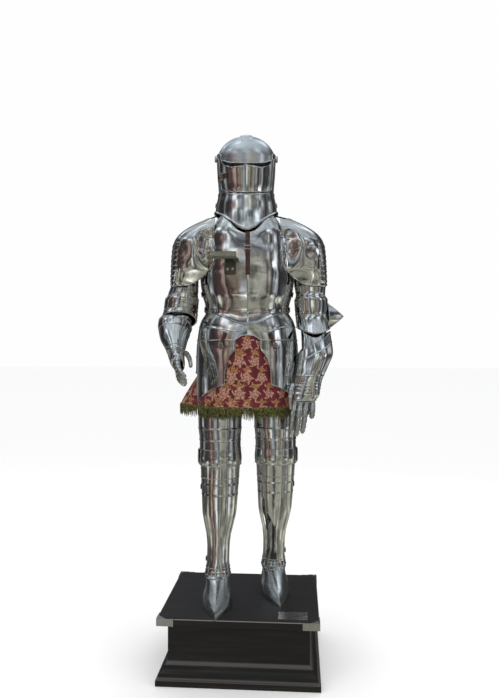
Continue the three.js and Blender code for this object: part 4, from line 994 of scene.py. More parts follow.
big_away, big_angle = motif(u, v, 0.0, 0.0)
small_away, small_angle = motif(u, v, 0.5, 0.5)
side_away, side_angle = motif(u, v, 0.25, 0.52)
gold = petal_mask(big_away, big_angle, 15.5, 2.2, 6, 0.4)
gold = gold.most(spray_mask(big_away, big_angle, 17.0, 12.0, 5, 0.9))
small = petal_mask(small_away, small_angle, 10.0, 2.0, 6, 1.2)
small = small.most(spray_mask(small_away, small_angle, 11.0, 13.0, 4, 0.2))
small = small.most(spray_mask(side_away, side_angle, 1.5, 12.0, 5, 2.1))
threads = uv.noise(420, 2, 0.6)
ground = uv.noise(30, 3, 0.6).fade(0.3, 0.75).blend((0.065, 0.001, 0.006), (0.145, 0.002, 0.013))
cream = threads.fade(0.3, 0.7).blend((0.24, 0.09, 0.06), (0.50, 0.31, 0.20))
ochre = threads.fade(0.3, 0.7).blend((0.22, 0.075, 0.022), (0.42, 0.24, 0.085))
shade = (gold * 0.92).blend((small * 0.9).blend(ground, ochre), cream)
weft = (v * (2 * math.pi / THREAD)).sine()
warp = (u * (2 * math.pi / THREAD)).sine()
relief = (gold + small) * 0.0003 + weft * warp * 0.00003 + threads * 0.00015
finish("brocade", shade, 0.62 - 0.2 * gold + 0.1 * threads, relief, 0.0,
       {"Sheen Weight": 0.08, "Sheen Roughness": 0.4})

# %% Bullion fringe
at = start("bullion")
tint = at.noise(160, 3, 0.6)
patch = at.noise(22, 2, 0.5)
CORD_TURNS, CORD_SLIP = 5200, 14
height = at.node("SeparateXYZ", None, {"Vector": at}).output(2)
twist = (height * CORD_TURNS + tint * CORD_SLIP).sine()
shade = tint.fade(0.36, 0.68).blend((0.012, 0.016, 0.004), (0.17, 0.16, 0.035))
shade = (patch.fade(0.5, 0.7) * 0.6).blend(shade, (0.035, 0.05, 0.010))
finish("bullion", shade, 0.42 + 0.2 * tint, twist * 0.0001 + tint * 0.0002, 0.15)

# %% [markdown]
# ## The plinth
# A thick slab with metal corners lies on a moulded box. The moulding is a profile carried round
# a rectangle: from the floor, a tall step, a hollow, a bead and a small cove. The slab and the
# box get their fine edges from a Bevel modifier. The corner fittings and the plaque keep the
# model's own solids.

# %% The slab and the moulded box
HALF_WIDE, HALF_DEEP, SLAB_TOP, SLAB_THICK = 290, 250, 240, 25
BOX_HALF_WIDE, BOX_HALF_DEEP = 256.3, 215.6
MOULDING = table("z out", """
    0 38.5
    1 39
    21 39
    23 38
    24 32
    26 30.6
    38 28.5
    42 27
    46 21
    50 15.5
    54 13.2
    60 12.2
    64 12
    66 9
    69 5.5
    73 2.5
    78 0.6
    84 0
    214.6 0""")


def rectangle(wide, deep, z):
    """Four corners at each height, as rows of a grid."""
    signs = np.array([(-1, -1), (1, -1), (1, 1), (-1, 1)], float)
    return stack(signs[:, 0] * wide[:, None], signs[:, 1] * deep[:, None], z[:, None])


def bevelled(piece, width, segments=2, angle=40):
    """Gives a piece a fine rounded edge, by a Bevel modifier of a width in metres."""
    bevel = piece.modifiers.new("edges", "BEVEL")
    bevel.width, bevel.segments = width, segments
    bevel.limit_method, bevel.angle_limit = "ANGLE", math.radians(angle)
    bevel.harden_normals = False
    return piece


out = MOULDING["out"]
box = loft(rectangle(BOX_HALF_WIDE + out, BOX_HALF_DEEP + out, MOULDING["z"]))
bevelled(make("plinth_box_wood", box, "wood", ["plinth_box"], own_frame=False), 0.0008)
slab_z = np.array([SLAB_TOP - SLAB_THICK, SLAB_TOP], float)
slab = loft(rectangle(np.full(2, HALF_WIDE), np.full(2, HALF_DEEP), slab_z))
bevelled(make("plinth_slab_wood", slab, "wood", ["plinth_slab"], own_frame=False), 0.0018, 3)
CORNERS = [f"corner_{end}_{side}" for end in ("front", "back") for side in ("right", "left")]
for node in (*CORNERS, "plaque"):
    fitting = bpy.data.objects[node]
    fitting.data.materials.clear()
    fitting.data.materials.append(FINISHES["nickel"])
    print("kept:", node, len(fitting.data.polygons), "faces")

# %% Screws of the corner fittings and the plaque
screw_at, screw_out = [], []
for sx in (-1, 1):
    for sy in (-1, 1):
        x, y, z = sx * (HALF_WIDE + 1.8), sy * (HALF_DEEP + 1.8), SLAB_TOP - 12
        for away in (18, 46):
            screw_at += [(x - sx * away, y, z), (x, y - sy * away, z)]
            screw_out += [(0, sy, 0), (sx, 0, 0)]
        screw_at.append((x - sx * 10, y - sy * 10, SLAB_TOP + 1.8))
        screw_out.append((0, 0, 1))
for x in (148, 243):
    screw_at.append((x, -192.5, SLAB_TOP + 2.3))
    screw_out.append((0, 0, 1))
make("fitting_screws", domes(screw_at, screw_out, 2.6, 0.35), "nickel", own_frame=False)

# %% [markdown]
# ## Legs and feet
# Each leg is five tubes of plate, from the thigh to the ankle, and a pointed foot. The lines
# across the leg are the edges of lames, which slide on each other when the knee bends. Every
# tube is one call: the leg's surface, a circle of angles and the stops of its profile.

# %% Leg plates
LIMB = ring(80)
FOOT_YAW = {1: 4, -1: -1}
SIDES = (("left", 1, LEFT_LEG_LINE, LEFT_ARM), ("right", -1, RIGHT_LEG_LINE, RIGHT_ARM))
LEG_PLATES = {
    "cuisse": [*roll(830, 2.0, top=True), (720, 0, 22), *lame(655, RIM, 12),
               *lame(610, RIM, 9), (578 + SEAM, 0, 7)],
    "poleyn": [*roll(578, 1.4, 0.6, top=True), (561, 1.6, 5), (546, 2.8, 6), (526, 4.6, 8),
               *roll(515, 1.8, 4.2)],
    "knee_lame": [(515 - SEAM, 0.2, 1), (505, 0.2, 4), (475, 0.2, 12), *roll(465, 1.5, 0.2)],
    "greave": [(465 - SEAM, 0, 1), *lame(440, 1.2, 7), *lame(400, 1.2, 10), (130, 0, 70),
               *roll(121, 1.8)],
    "ankle_lames": [(121 - SEAM, 0.4, 1), *lame(109, 1.6, 3), (101, 0.4, 3),
                    *roll(96, 1.4, 0.4)],
}


def knee_wing(surface, sign):
    """An oval shell at the side of the knee: rings that shrink and rise to a ridge."""
    middle = surface(np.array(90.0 * sign), np.array(546.0))
    turn = np.linspace(0, 2 * np.pi, 40, endpoint=False)
    out = np.array([0.6, 2.2, 4.6, 5.6, 5.2, 6.2, 7.2])
    size = np.array([0.86, 0.98, 1.0, 0.95, 0.86, 0.5, 0.08])
    x = np.broadcast_to(middle[0] + sign * out[:, None], (7, 40))
    y = middle[1] + 32 * size[:, None] * np.cos(turn)
    z = middle[2] + 29 * size[:, None] * np.sin(turn) * (1 - 0.12 * np.cos(turn) ** 2)
    return loft(stack(x, y, z))


for name, sign, leg_line, arm_rows in SIDES:
    surface = leg(leg_line)
    for piece, stops in LEG_PLATES.items():
        shape = plate(surface, LIMB, stops, closed=True)
        if piece == "poleyn":
            shape = joined(shape, knee_wing(surface, sign))
        make(f"{piece}_{name}_steel", shape, "mirror", [f"{piece}_{name}"])
    turns = spread((-180, -30, 32), (-28, 28, 43), (30, 175, 31))
    stops = [(95.6, 0.4, 1), (90, 0.4, 3), (88.6, 1.4, 1), (87, 0, 1), (70, 0, 8),
             (40, 0, 16), (12, 0, 16), (0.5, 0, 8)]
    shape = plate(foot(leg_line, FOOT_YAW[sign]), turns, stops, closed=True)
    make(f"sabaton_{name}_steel", shape, "worn", [f"sabaton_{name}"], sharp=24)

# %% [markdown]
# ## Body plates
# The breastplate swells out over the chest, has a ridge down the middle and is rolled at the
# neck, arms and waist. Below the waist the fauld closes round the hips in lames, with an arch at
# the front, and the tassets hang from it. Their free edges are rolled.

# %% Breastplate and backplate
waist = at_angle(WAIST)
fauld_foot = at_angle(FAULD_FOOT)


def breast_form(angle, at):
    """Short flutes over the waist, which fade upwards and towards the middle, and a swell that
    carries the plate forward under the rim of the helm's lower plate."""
    above = at - waist(angle)
    wave = np.clip(np.sin(np.radians(angle * 16)), 0, 1) ** 1.5
    turn = np.abs(angle)
    swell = 15 * smooth(1350, 1450, at) * smooth(4, 26, turn) * (1 - smooth(46, 60, turn))
    return swell + 2.6 * wave * np.exp(-((above - 12) / 12) ** 2) * smooth(24, 44, turn)


breast_parts = spread((-1, -0.955, 9), (-0.94, -0.012, 50), (0, 0, 1), (0.012, 0.94, 50),
                      (0.955, 1, 9))
side_roll = 2.6 * np.sqrt(np.clip(1 - ((1 - np.abs(breast_parts)) / 0.022 - 1) ** 2, 0, 1))
breast_neck = curve(BREAST_NECK, "z", np.abs(breast_parts) * 58)
breast_waist = waist(breast_parts * 88)
breast_stops = [(breast_neck, RIM, 1), (breast_neck - 6, side_roll, 4), (1310, side_roll, 30),
                (1128, side_roll, 46), (breast_waist + 26, side_roll, 12),
                (breast_waist + 9, 0.5, 7), *roll(breast_waist, 2.2, 1.2)]
shape = plate(torso, breast_parts, breast_stops, relief=breast_form,
              turn=lambda part, z: part * curve(BREAST_SPAN, "around", z, 6))
make("breastplate_steel", shape, "mirror", ["breastplate"])

back_parts = np.linspace(-1, 1, 97)
back_neck = curve(BACK_NECK, "z", np.abs(back_parts) * 58)
back_waist = waist(180 - np.abs(back_parts) * 91.6)
back_roll = 2.2 * np.sqrt(np.clip(1 - ((1 - np.abs(back_parts)) / 0.03 - 1) ** 2, 0, 1))


def spine(angle, at):
    """Two soft shoulder-blade swells and a hollow down the spine."""
    away = np.abs(np.abs(angle) - 180)
    blades = 5 * np.exp(-((away - 28) / 17) ** 2) * np.exp(-((at - 1350) / 60) ** 2)
    return blades - 3 * np.exp(-(away / 9) ** 2) * smooth(1110, 1200, at)


def back_turn(part, z):
    """The backplate starts just behind the breastplate's edge, or a little past the side."""
    return 180 + part * np.minimum(91.6, curve(BREAST_SPAN, "around", z, 6) + 3.6)


back_stops = [(back_neck, RIM, 1), (1440, back_roll, 6), (1128, back_roll, 60),
              (back_waist + 10, back_roll, 9), *roll(back_waist, 2.2, 1.2)]
shape = plate(torso, back_parts, back_stops, relief=spine, turn=back_turn)
make("backplate_steel", shape, "mirror", ["backplate"])

# %% Fauld, tassets and hip plates
fauld_columns = spread((-180, -14, 72), (-13.5, 13.5, 61), (14, 178, 71))
fauld_top, fauld_low = waist(fauld_columns) - 2 * SEAM, fauld_foot(fauld_columns)
middle = between(fauld_top, fauld_low, 0.5)
step = 0.5 + 1.6 * smooth(24, 40, np.abs(fauld_columns))
fauld_stops = [(fauld_top, 0.4, 1), (middle + 5, 0.4, 10), (middle, step, 2), (middle - 1, step, 1),
               (middle - 1.8, 0.1, 1), (middle - 3, 0.4, 1), (fauld_low + 7, 0.4, 10),
               *roll(fauld_low, 2.4, 0.4)]
make("fauld_steel", plate(torso, fauld_columns, fauld_stops, closed=True), "mirror", ["fauld"])


def edge_roll(away, radius):
    """Height of a half circle whose foot starts at an edge."""
    return 1.1 * np.sqrt(np.clip(radius**2 - (away - radius) ** 2, 0, None))


MM_PER_DEGREE = 3.35


def tasset(sign):
    """A patch between the fauld, the curved inner edge, the foot and the side. Its inner edge
    and foot are rolled, and its outer part is a second lame."""
    columns = spread((0, 0.05, 9), (0.06, 0.585, 32), (0.6, 0.64, 6), (0.65, 1, 24))
    share, level = np.meshgrid(columns, spread((0, 0.965, 60), (0.97, 1, 9)))
    edge_z = between(992, 831, level)
    inner = torso_angle(curve(TASSET_EDGE, "x", edge_z, 5), edge_z)
    around = between(inner, 72, share)
    top = np.minimum(995, fauld_foot(around)) - 2 * SEAM
    low = curve(TASSET_FOOT, "z", share)
    at = between(top, low, level)
    lift = edge_roll((around - inner) * MM_PER_DEGREE, 2.4)
    lift = np.maximum(lift, edge_roll((1 - level) * (top - low), 2.2))
    second = smooth(0.6 + 0.05 * level, 0.62 + 0.05 * level, share)
    lift = np.maximum(lift, 2.0 * second)
    return wall(skin(torso, sign * around, at, lift),
                skin(torso, sign * around, at, np.full(lift.shape, -STEEL)))


def hip_plate(sign):
    """Two lames below the fauld, from the tasset round to the back of the hip."""
    around = np.linspace(72.3, 130, 60)
    top, low = fauld_foot(around) - 2 * SEAM, curve(HIP_FOOT, "z", around)
    middle = between(top, low, 0.5)
    stops = [(top, 0.2, 1), (middle + 5, 0.2, 14), (middle, RIM, 2), (middle - 1.2, RIM, 1),
             (middle - 2, -0.8, 1), (middle - 3.4, 0.2, 1), (low + 6, 0.2, 14),
             *roll(low, 1.8, 0.2)]
    return plate(lambda a, z: torso(sign * a, z), around, stops, side=sign)


for name, sign, leg_line, arm_rows in SIDES:
    make(f"tasset_{name}_steel", tasset(sign), "mirror", [f"tasset_{name}"])
    make(f"hip_plate_{name}_steel", hip_plate(sign), "mirror", [f"hip_plate_{name}"])

# %% [markdown]
# ## Skirt and fringe
# The skirt is one thin sheet of cloth under the plates. Its folds are soft ridges, each with its
# own width and depth, that grow towards the hem, and it is sewn up at the back. Its unrolled
# coordinates are lengths along the hem and down the cloth, so the flowers keep their size.

# %% The skirt
CLOTH_END = SKIRT_HEM - 10
skirt_turn = np.linspace(-179.95, 179.95, 409)
skirt_z = spread((SKIRT_TOP, 900, 16), (895, CLOTH_END, 32))
turn_grid, z_grid = np.meshgrid(skirt_turn, skirt_z)
cloth = skin(skirt, turn_grid, z_grid, np.zeros(z_grid.shape))
cloth_inside = skin(skirt, turn_grid, z_grid, np.full(z_grid.shape, -CLOTH))
skirt_piece = make("skirt_cloth", wall(cloth, cloth_inside), "brocade", ["skirt"], sharp=60)
hem_steps = np.linalg.norm(np.diff(cloth[-1], axis=0), axis=-1)
down_steps = np.linalg.norm(np.diff(cloth, axis=0), axis=-1).mean(axis=1)
along_hem = np.concatenate([[0], np.cumsum(hem_steps)]) / 1000
down_cloth = np.concatenate([[0], np.cumsum(down_steps)]) / 1000
unrolled = np.stack(np.meshgrid(along_hem, -down_cloth), axis=-1)
unrolled = np.concatenate([unrolled, unrolled[::-1]]).reshape(-1, 2)
corner = np.empty(len(skirt_piece.data.loops), np.int32)
skirt_piece.data.loops.foreach_get("vertex_index", corner)
layer = skirt_piece.data.uv_layers.new(name="cloth")
layer.data.foreach_set("uv", unrolled[corner].ravel())
first, second = cloth[1:, 1:] - cloth[:-1, :-1], cloth[1:, :-1] - cloth[:-1, 1:]

# %% The fringe
FRINGE_TOP, FRINGE_BAND, FRINGE_LOW = CLOTH_END + 1, 8, 700
STRANDS, STEPS, SIDES_EACH = 900, 6, 4


def plait(angle, at):
    """Slanting bumps of the braid: a sine of the angle and the height."""
    return 0.5 * np.sin(np.radians(angle) * 270 + (at - FRINGE_TOP) * 0.9)


braid_stops = [(FRINGE_TOP, 0.2, 1), (FRINGE_TOP - 1.5, 1.2, 1), (FRINGE_TOP - 7.5, 1.2, 5),
               (FRINGE_TOP - FRINGE_BAND, 0.3, 1)]
braid = plate(skirt, ring(408), braid_stops, inside=-1.8, closed=True, relief=plait)


def strands():
    """Each strand starts in the braid and hangs down in five steps. Its sway grows with the
    square of the way down and its thickness shrinks, all strands at once."""
    chance = np.random.default_rng(7)
    turn = ring(STRANDS) + chance.uniform(-0.12, 0.12, STRANDS)
    depth = chance.uniform(-1.5, 0.9, STRANDS)
    length = 38 + chance.uniform(-9, 4, STRANDS) + 2.5 * np.sin(turn * 0.21)
    sway = chance.normal(0, 1.3, (STRANDS, 2)) + 1.2 * np.sin(turn * 0.37)[:, None]
    share = np.linspace(0, 1, STEPS)
    root = skin(skirt, turn, np.full(STRANDS, FRINGE_TOP - FRINGE_BAND + 1.2), depth)
    path = np.repeat(root[:, None], STEPS, axis=1)
    path[..., 2] -= share * np.minimum(length, root[:, 2] - FRINGE_LOW + 2)[:, None]
    path[..., :2] += share[:, None] ** 2 * sway[:, None]
    corner_turn = np.arange(SIDES_EACH) / SIDES_EACH * 2 * np.pi
    thick = 1.05 * (1 - 0.35 * share[:, None] ** 2)
    offset = np.stack([np.cos(corner_turn), np.sin(corner_turn), 0 * corner_turn], axis=-1)
    rings = path[:, :, None] + thick[..., None] * offset
    each = STEPS * SIDES_EACH
    starts = np.arange(STRANDS)[:, None, None] * each
    flanks = (quads(STEPS, SIDES_EACH, False, True) + starts).reshape(-1, 4)
    caps = np.stack([np.arange(SIDES_EACH)[::-1], np.arange(each - SIDES_EACH, each)])
    return outward(rings.reshape(-1, 3), [flanks, (caps + starts).reshape(-1, SIDES_EACH)])


fringe_piece = make("skirt_fringe_strands", joined(braid, strands()), "bullion", ["skirt_fringe"],
                    sharp=80)

# %% [markdown]
# ## Shoulders and arms
# The shoulder plates are the largest smooth forms of the arm: a bright dome over the joint, a
# dished front between two creases, and a strip of small lames down the outer side. Below them
# come the upper arm, two elbow lames, the forearm and the cuff. The left elbow has a pointed
# wing.


# %% Shoulder plates
INNER_EDGE = 0.6


def side_lames(angle, at):
    """A saw-tooth of small steps down the outer side of the shoulder plate, and a half-round
    roll along the plate's inner edge."""
    tooth = 1 - ((at - 1230) / 19) % 1
    strip = smooth(50, 54, angle) * (1 - smooth(124, 128, angle))
    lames = strip * (0.6 + 2.2 * tooth) * smooth(1222, 1228, at) * (1 - smooth(1372, 1378, at))
    return lames + 2.6 * np.sqrt(np.clip(1 - ((angle - INNER_EDGE) / 0.8 - 1) ** 2, 0, 1))


for name, sign, leg_line, arm_rows in SIDES:
    around = spread((INNER_EDGE, 2.2, 8), (3, 49, 37), (50, 54, 9), (55, 122, 32), (123, 129, 9),
                    (131, 184, 28))
    rim = curve(SHOULDER_RIM, "z", around)
    top = 1480 - 12 * np.abs(np.cos(np.radians(around)))
    stops = [(top, 0, 1), (rim + 8, 0, 104), *roll(rim, 2.4)]
    shape = plate(shoulder(sign, DISH[sign]), around, stops, side=sign, relief=side_lames)
    make(f"pauldron_{name}_steel", shape, "mirror", [f"pauldron_{name}"], sharp=28)

# %% Elbows, forearms, cuffs and hands
CUFF_FLARE = {"left": 2.0, "right": 5.0}
CUFF_TOP = {"left": table("around s", """
    0 990
    90 1034
    180 1000
    270 945
    360 990"""), "right": table("around s", """
    0 1019
    90 1015
    180 1022
    270 1034
    360 1019""")}
ELBOW_END = {"left": table("around s", """
    -50 1034
    0 1021
    50 1034
    90 1047
    180 1052"""), "right": table("around s", """
    -40 1037
    0 1036
    90 1040
    180 1044""")}


def elbow_wing(surface, s):
    """A hollow pointed wing: oval rings that shrink along a curve to the tip."""
    middle = surface(np.array(90.0), np.array(float(s)))
    turn = np.linspace(0, 2 * np.pi, 48, endpoint=False)
    out = np.concatenate([[3.4, 4.4, 6], np.linspace(9, 66, 22)])
    share = (out - out[0]) / (out[-1] - out[0])
    skins = []
    for thin in (0.0, 1.0):
        high = np.maximum((52 - 3 * thin) * (1 - share) ** 0.86 - 0.4 * thin, 0.3)
        deep = np.maximum((34 - 3 * thin) * (1 - share) ** 1.25 - 0.4 * thin, 0.3)
        x = np.broadcast_to((middle[0] + out - 2.5 * thin * share)[:, None], (len(out), 48))
        y = middle[1] + 4 + deep[:, None] * full(np.cos(turn), 1.7)
        skins.append(stack(x, y, middle[2] + high[:, None] * full(np.sin(turn), 1.5)))
    rim = tube(skins[0][1], 2.0, 8, (1.0, 0, 0), closed=True)
    return joined(wall(skins[0], skins[1], True), rim)


def flutes(angle, at):
    """Long shallow hollows that run down the left cuff."""
    hollow = np.clip(np.cos(np.radians(angle * 5 + at * 0.5)), 0, 1) ** 2
    return -1.8 * hollow * smooth(850, 880, at)


def arm_piece(name, node, surface, stops, extra=None, **more):
    """A closed tube of plate round the arm, named for the node that it stands for."""
    shape = plate(surface, LIMB, stops, closed=True, **more)
    shape = joined(shape, extra) if extra else shape
    make(f"{node}_{name}_steel", shape, "mirror", [f"{node}_{name}"])


def inside_elbow(surface):
    """The forearm's surface, drawn in where it runs under the elbow plates."""
    return lambda a, s: skin(surface, a, s, -curve(FOREARM_INSET, "inset", s, 4))


for name, sign, leg_line, arm_rows in SIDES:
    surface = arm(arm_rows)
    arm_piece(name, "rerebrace", surface,
              [(1262, 0, 1), *lame(1240, 1.4, 5), *lame(1212, 1.4, 6), (1186, 0, 6),
               (1180, -3.4, 3), (1146, -3.4, 6)])
    top = 1186 - 30 * smooth(15, 110, np.abs(LIMB))
    arm_piece(name, "elbow_upper", surface,
              [*roll(top, 1.9, 0.4, top=True), (between(top, 1130, 0.4), 1.4, 6), (1130, 1.2, 10),
               (1101.8, 0.8, 9)])
    end = curve(ELBOW_END[name], "s", np.abs(LIMB))
    arm_piece(name, "elbow_lower", surface,
              [*roll(1101, 1.6, 0.6, top=True), (1066, 0.6, 10), (end + 8, 0.8, 8),
               *roll(end, 2.6, 0.8)], elbow_wing(surface, 1094) if sign > 0 else None)
    stations = (1094, 1076, 1056, 1036, 1000, 952, 925, 900, 880, 858, 842)
    arm_piece(name, "forearm", inside_elbow(surface),
              [(s, 0, 6 if k else 1) for k, s in enumerate(stations)])
    top = curve(CUFF_TOP[name], "s", LIMB % 360)
    flare = CUFF_FLARE[name] * smooth(30, 90, (LIMB % 360 - 180))
    arm_piece(name, "cuff", surface,
              [*roll(top, 2.2, flare, top=True), (top - 26, 0.3 * flare, 6),
               *lame(top - 42, 1.2, 3), (between(top, 836, 0.5), 0, 10), (872, 0, 12),
               *lame(862, 1.4, 3), (845, 0, 5), *roll(836.4, 1.6)],
              relief=flutes if sign > 0 else None)
    arm_piece(name, "hand", surface,
              [(836, 0, 1), *lame(825, 1.6, 3), *lame(813, 1.6, 3), (803, 0.4, 3), (795, 2.4, 3),
               (784, 3.2, 4), (775, 1.8, 4), *roll(768.4, 1.8, 0.8)])

# %% [markdown]
# ## Fingers
# A gauntlet's finger is a row of small half rings that overlap like roof tiles. One tube with a
# saw-tooth radius shows the same thing: each lame is widest at its lower edge and steps in where
# the next one starts.

# %% Fingers and thumbs
FINGERS = {
    "left": [((178, -138, 764.6), (168, -151, 713), (162, -147, 650)),
             ((200, -139, 764.6), (191, -154, 706), (183, -148, 636)),
             ((222, -138, 764.6), (214, -153, 710), (205, -147, 646)),
             ((243, -136, 764.6), (244, -148, 736), (240, -145, 702))],
    "right": [((-258, -195.7, 926), (-252, -220, 891), (-226, -228, 860)),
              ((-258, -180.7, 910), (-252, -206, 874), (-224, -212, 844)),
              ((-258, -165.7, 893), (-252, -188, 860), (-225, -192, 834)),
              ((-258, -150.7, 877), (-253, -168, 850), (-229, -171, 830))],
}
THUMBS = {"left": ((170, -146.3, 826), (158.6, -159.7, 786), (160.6, -162.7, 738)),
          "right": ((-232, -138, 947), (-216, -172, 926), (-210, -200, 896))}
BACK_OF_HAND = {"left": (0.0, -1.0, 0.0), "right": (-1.0, -0.2, 0.4)}


def finger(root, bend, tip, width, end, lames, up):
    """A path through three points, and a radius that shrinks from root to tip, times a
    saw-tooth, with a rounded tip."""
    share = np.concatenate([(k + np.array([0.02, 0.5, 0.94, 0.985])) / lames for k in range(lames)])
    share = np.append(share, [0.992, 0.997, 1.0])
    root, bend, tip = (np.array(p, float) for p in (root, bend, tip))
    root = root - 0.12 * (bend - root)
    s = share[:, None]
    path = root * (1 - s) * (1 - 2 * s) + bend * 4 * s * (1 - s) + tip * s * (2 * s - 1)
    tooth = (share * lames) % 1
    radius = between(width, end, share) * (0.82 + 0.24 * np.where(tooth > 0.96, 0, tooth))
    radius = radius * np.sqrt(np.clip((1.004 - share) / 0.075, 0, 1)) ** 0.8
    return tube(path, radius, 18, up, flat=0.92)


def knuckles(name, rows):
    """A bar over the roots of the fingers with one round boss for each."""
    roots = np.array([row[0] for row in rows], float) + 9.5 * unit(np.array(BACK_OF_HAND[name]))
    share = np.linspace(-0.06, 1.06, 61)[:, None]
    near = np.abs(share * 3 - np.arange(4)).min(axis=1)
    radius = 3.4 + 2.6 * np.clip(1 - (near / 0.36) ** 2, 0, 1)
    return tube(between(roots[0], roots[-1], share), radius, 14, BACK_OF_HAND[name])


for name in ("left", "right"):
    up = BACK_OF_HAND[name]
    shapes = [finger(*row, 12.4, 10.4, 6, up) for row in FINGERS[name]]
    hand = {"fingers": joined(*shapes, knuckles(name, FINGERS[name])),
            "thumb": finger(*THUMBS[name], 10.6, 7.6, 7, up)}
    for node, shape in hand.items():
        make(f"{node}_{name}_steel", shape, "worn", [f"{node}_{name}"], sharp=28)

# %% [markdown]
# ## Helm
# The skull is a satin dome with a low flat comb and a rolled brow over the eye slit. The face
# plate is a bright mirror with a keel, hung from a pivot at each temple, and the lower plate
# ends in a wide rolled V over the breast and back.

# %% Skull and comb
brow = at_angle(BROW)
helm_columns = spread((-180, -66.5, 44), (-66, -59.5, 12), (-59, 59, 91), (59.5, 66, 12),
                      (66.5, 178, 43))
brow_line = brow(helm_columns)
dome = DOME_FOOT + DOME_RISE * np.cos(np.radians(np.linspace(2.2, 88, 44)))
low = np.maximum(brow_line + 6, 0)
front_roll = 1 - smooth(58, 62, np.abs(helm_columns))
levels = [*dome, *(between(DOME_FOOT, low, share) for share in (0.25, 0.5, 0.75, 1))]
stops = [(np.maximum(level, low), 0, 1) for level in levels]
stops += [(at, lift * (0.25 + 0.75 * front_roll), 1) for at, lift, count in roll(brow_line, 2.6)]
skull = plate(helm, helm_columns, stops, inside=-2, closed=True)


def comb():
    """A low flat ridge over the dome: across it, the lift is flat with sloped sides, and along
    it, it fades out at the front and the back."""
    lean = np.linspace(-62, 70, 80)[:, None]
    tilt, side = np.radians(lean), np.linspace(-1, 1, 31)[None]
    ends = smooth(-62, -48, lean) * (1 - smooth(56, 70, lean))
    high = 4.0 * (1 - smooth(0.66, 1.0, np.abs(side))) * ends
    x = 27 * np.cos(tilt * 0.8) * side
    flat = np.sqrt(np.clip(1 - (x / 117) ** 2, 0, 1))
    skins = []
    for lift in (high - 0.2, np.full(high.shape, -1.2)):
        y = np.sin(tilt) * (120 * flat + lift)
        z = DOME_FOOT + np.cos(tilt) * (DOME_RISE * flat + lift)
        skins.append(stack(HELM_X + x, y, z))
    return wall(*skins)


make("helm_skull_steel", joined(skull, comb()), "satin", ["helm_skull"])

# %% Face plate, lower plate and pivots
face_columns = spread((-90, -67, 14), (-66, -51, 28), (-50, 50, 91), (51, 66, 28), (67, 90, 14))
slit, face_foot = (at_angle(rows)(face_columns) for rows in (SLIT, FACE_FOOT))
stops = [(slit, 2.4, 1), (slit - 0.7, 4.0, 1), (slit - 2.2, 4.4, 1), (slit - 4, 3.4, 1),
         (between(slit, face_foot, 0.5), 3.4, 26), (face_foot + 6, 3.4, 26),
         *roll(face_foot, 2.0, 3.4)]
shape = plate(face, face_columns, stops, inside=1.6)
make("visor_steel", shape, "mirror", ["visor"], "visor", sharp=30)

foot_line = curve(BEVOR_FOOT, "z", np.abs(helm_columns))
top_line = np.where(np.abs(helm_columns) >= 66, brow(helm_columns) - 2 * SEAM,
                    curve(BEVOR_TOP, "z", np.abs(helm_columns)) - SEAM)
stops = [(top_line, 0.2, 1), (top_line - 1.2, 2.6, 1), (top_line - 4, 2.8, 1),
         (top_line - 6, 1.2, 1), (between(top_line, foot_line, 0.5), 1.2, 24),
         (foot_line + 11, 1.2, 24), *roll(foot_line, 4.2, 1.8)]
shape = plate(helm, helm_columns, stops, inside=-0.4, closed=True)
make("bevor_steel", shape, "mirror", ["bevor"])

PIVOT_Y, PIVOT_Z = -5, 1718
PIVOT = table("row radius out", """
    0 13 -7
    1 13 1.4
    2 11.8 2.4
    3 9.4 2.4
    4 8.6 1.8
    5 5.2 1.8
    6 4.6 3.0
    7 0.6 3.4""")
for name, sign in (("left", 1), ("right", -1)):
    hub = skin(helm, np.array(90.0 * sign), np.array(1705.0), np.array(5.6))[0]
    turn = np.linspace(0, 2 * np.pi, 36, endpoint=False)
    radius, x = PIVOT["radius"][:, None], (hub + sign * PIVOT["out"])[:, None]
    shape = loft(stack(x, PIVOT_Y + radius * np.cos(turn), PIVOT_Z + radius * np.sin(turn)))
    make(f"pivot_{name}_steel", shape, "mirror", [f"pivot_{name}"])

# %% [markdown]
# ## Straps and buckles
# Leather holds the plates together: red-brown straps on the chest and the cheek, and short ones
# at the shoulders and hips. A strap is a flat section carried along a path that lies
# on the plate, and a buckle is a bent wire with a bar and a tongue.


# %% Straps on the chest and cheek
def strap_on(surface, around, at, width, lift):
    """A strap along a path of angles and heights, raised over the plate by its lift."""
    around, at = np.broadcast_arrays(around, np.asarray(at, float))
    point, normal, down, across = seat(surface, around, at)
    return ribbon(point + normal * np.broadcast_to(lift, at.shape)[:, None], normal, width, LEATHER)


chest_z = np.linspace(1404, 1239, 60)
middle = 0.0 * chest_z
gap = torso(middle, chest_z)[:, 1] - helm(middle, chest_z)[:, 1]
seat_lift = np.maximum(1.0, (gap - 6) * smooth(1372, 1404, chest_z))
flat_out = np.tile([0.0, -1.0, 0.0], (60, 1))
path = torso(middle, chest_z) + flat_out * seat_lift[:, None]
make("chest_strap_leather", ribbon(path, flat_out, 17, LEATHER), "leather", ["chest_strap"])
front = torso(np.array(0.0), np.array(1336.0)) + np.array([0, -4.6, 0])
axes = (np.array([0, -1.0, 0]), np.array([0, 0.1, -1.0]), np.array([1.0, 0, 0]))
keeper = front + np.array([0, 0.3, -19])
buckles = [buckle(front, *axes, 25, 26, 1.6), buckle(keeper, *axes, 21, 6, 1.2)]

cheek_strap = strap_on(face, np.linspace(-68, -38, 30), 1631, 18, 5.6)
make("cheek_strap_leather", cheek_strap, "leather", ["cheek_strap"], "visor")
point, normal, down, across = seat(face, -54.0, 1631.0, 9.0)
cheek_buckle = buckle(point, normal, across, down, 24, 17, 1.4)

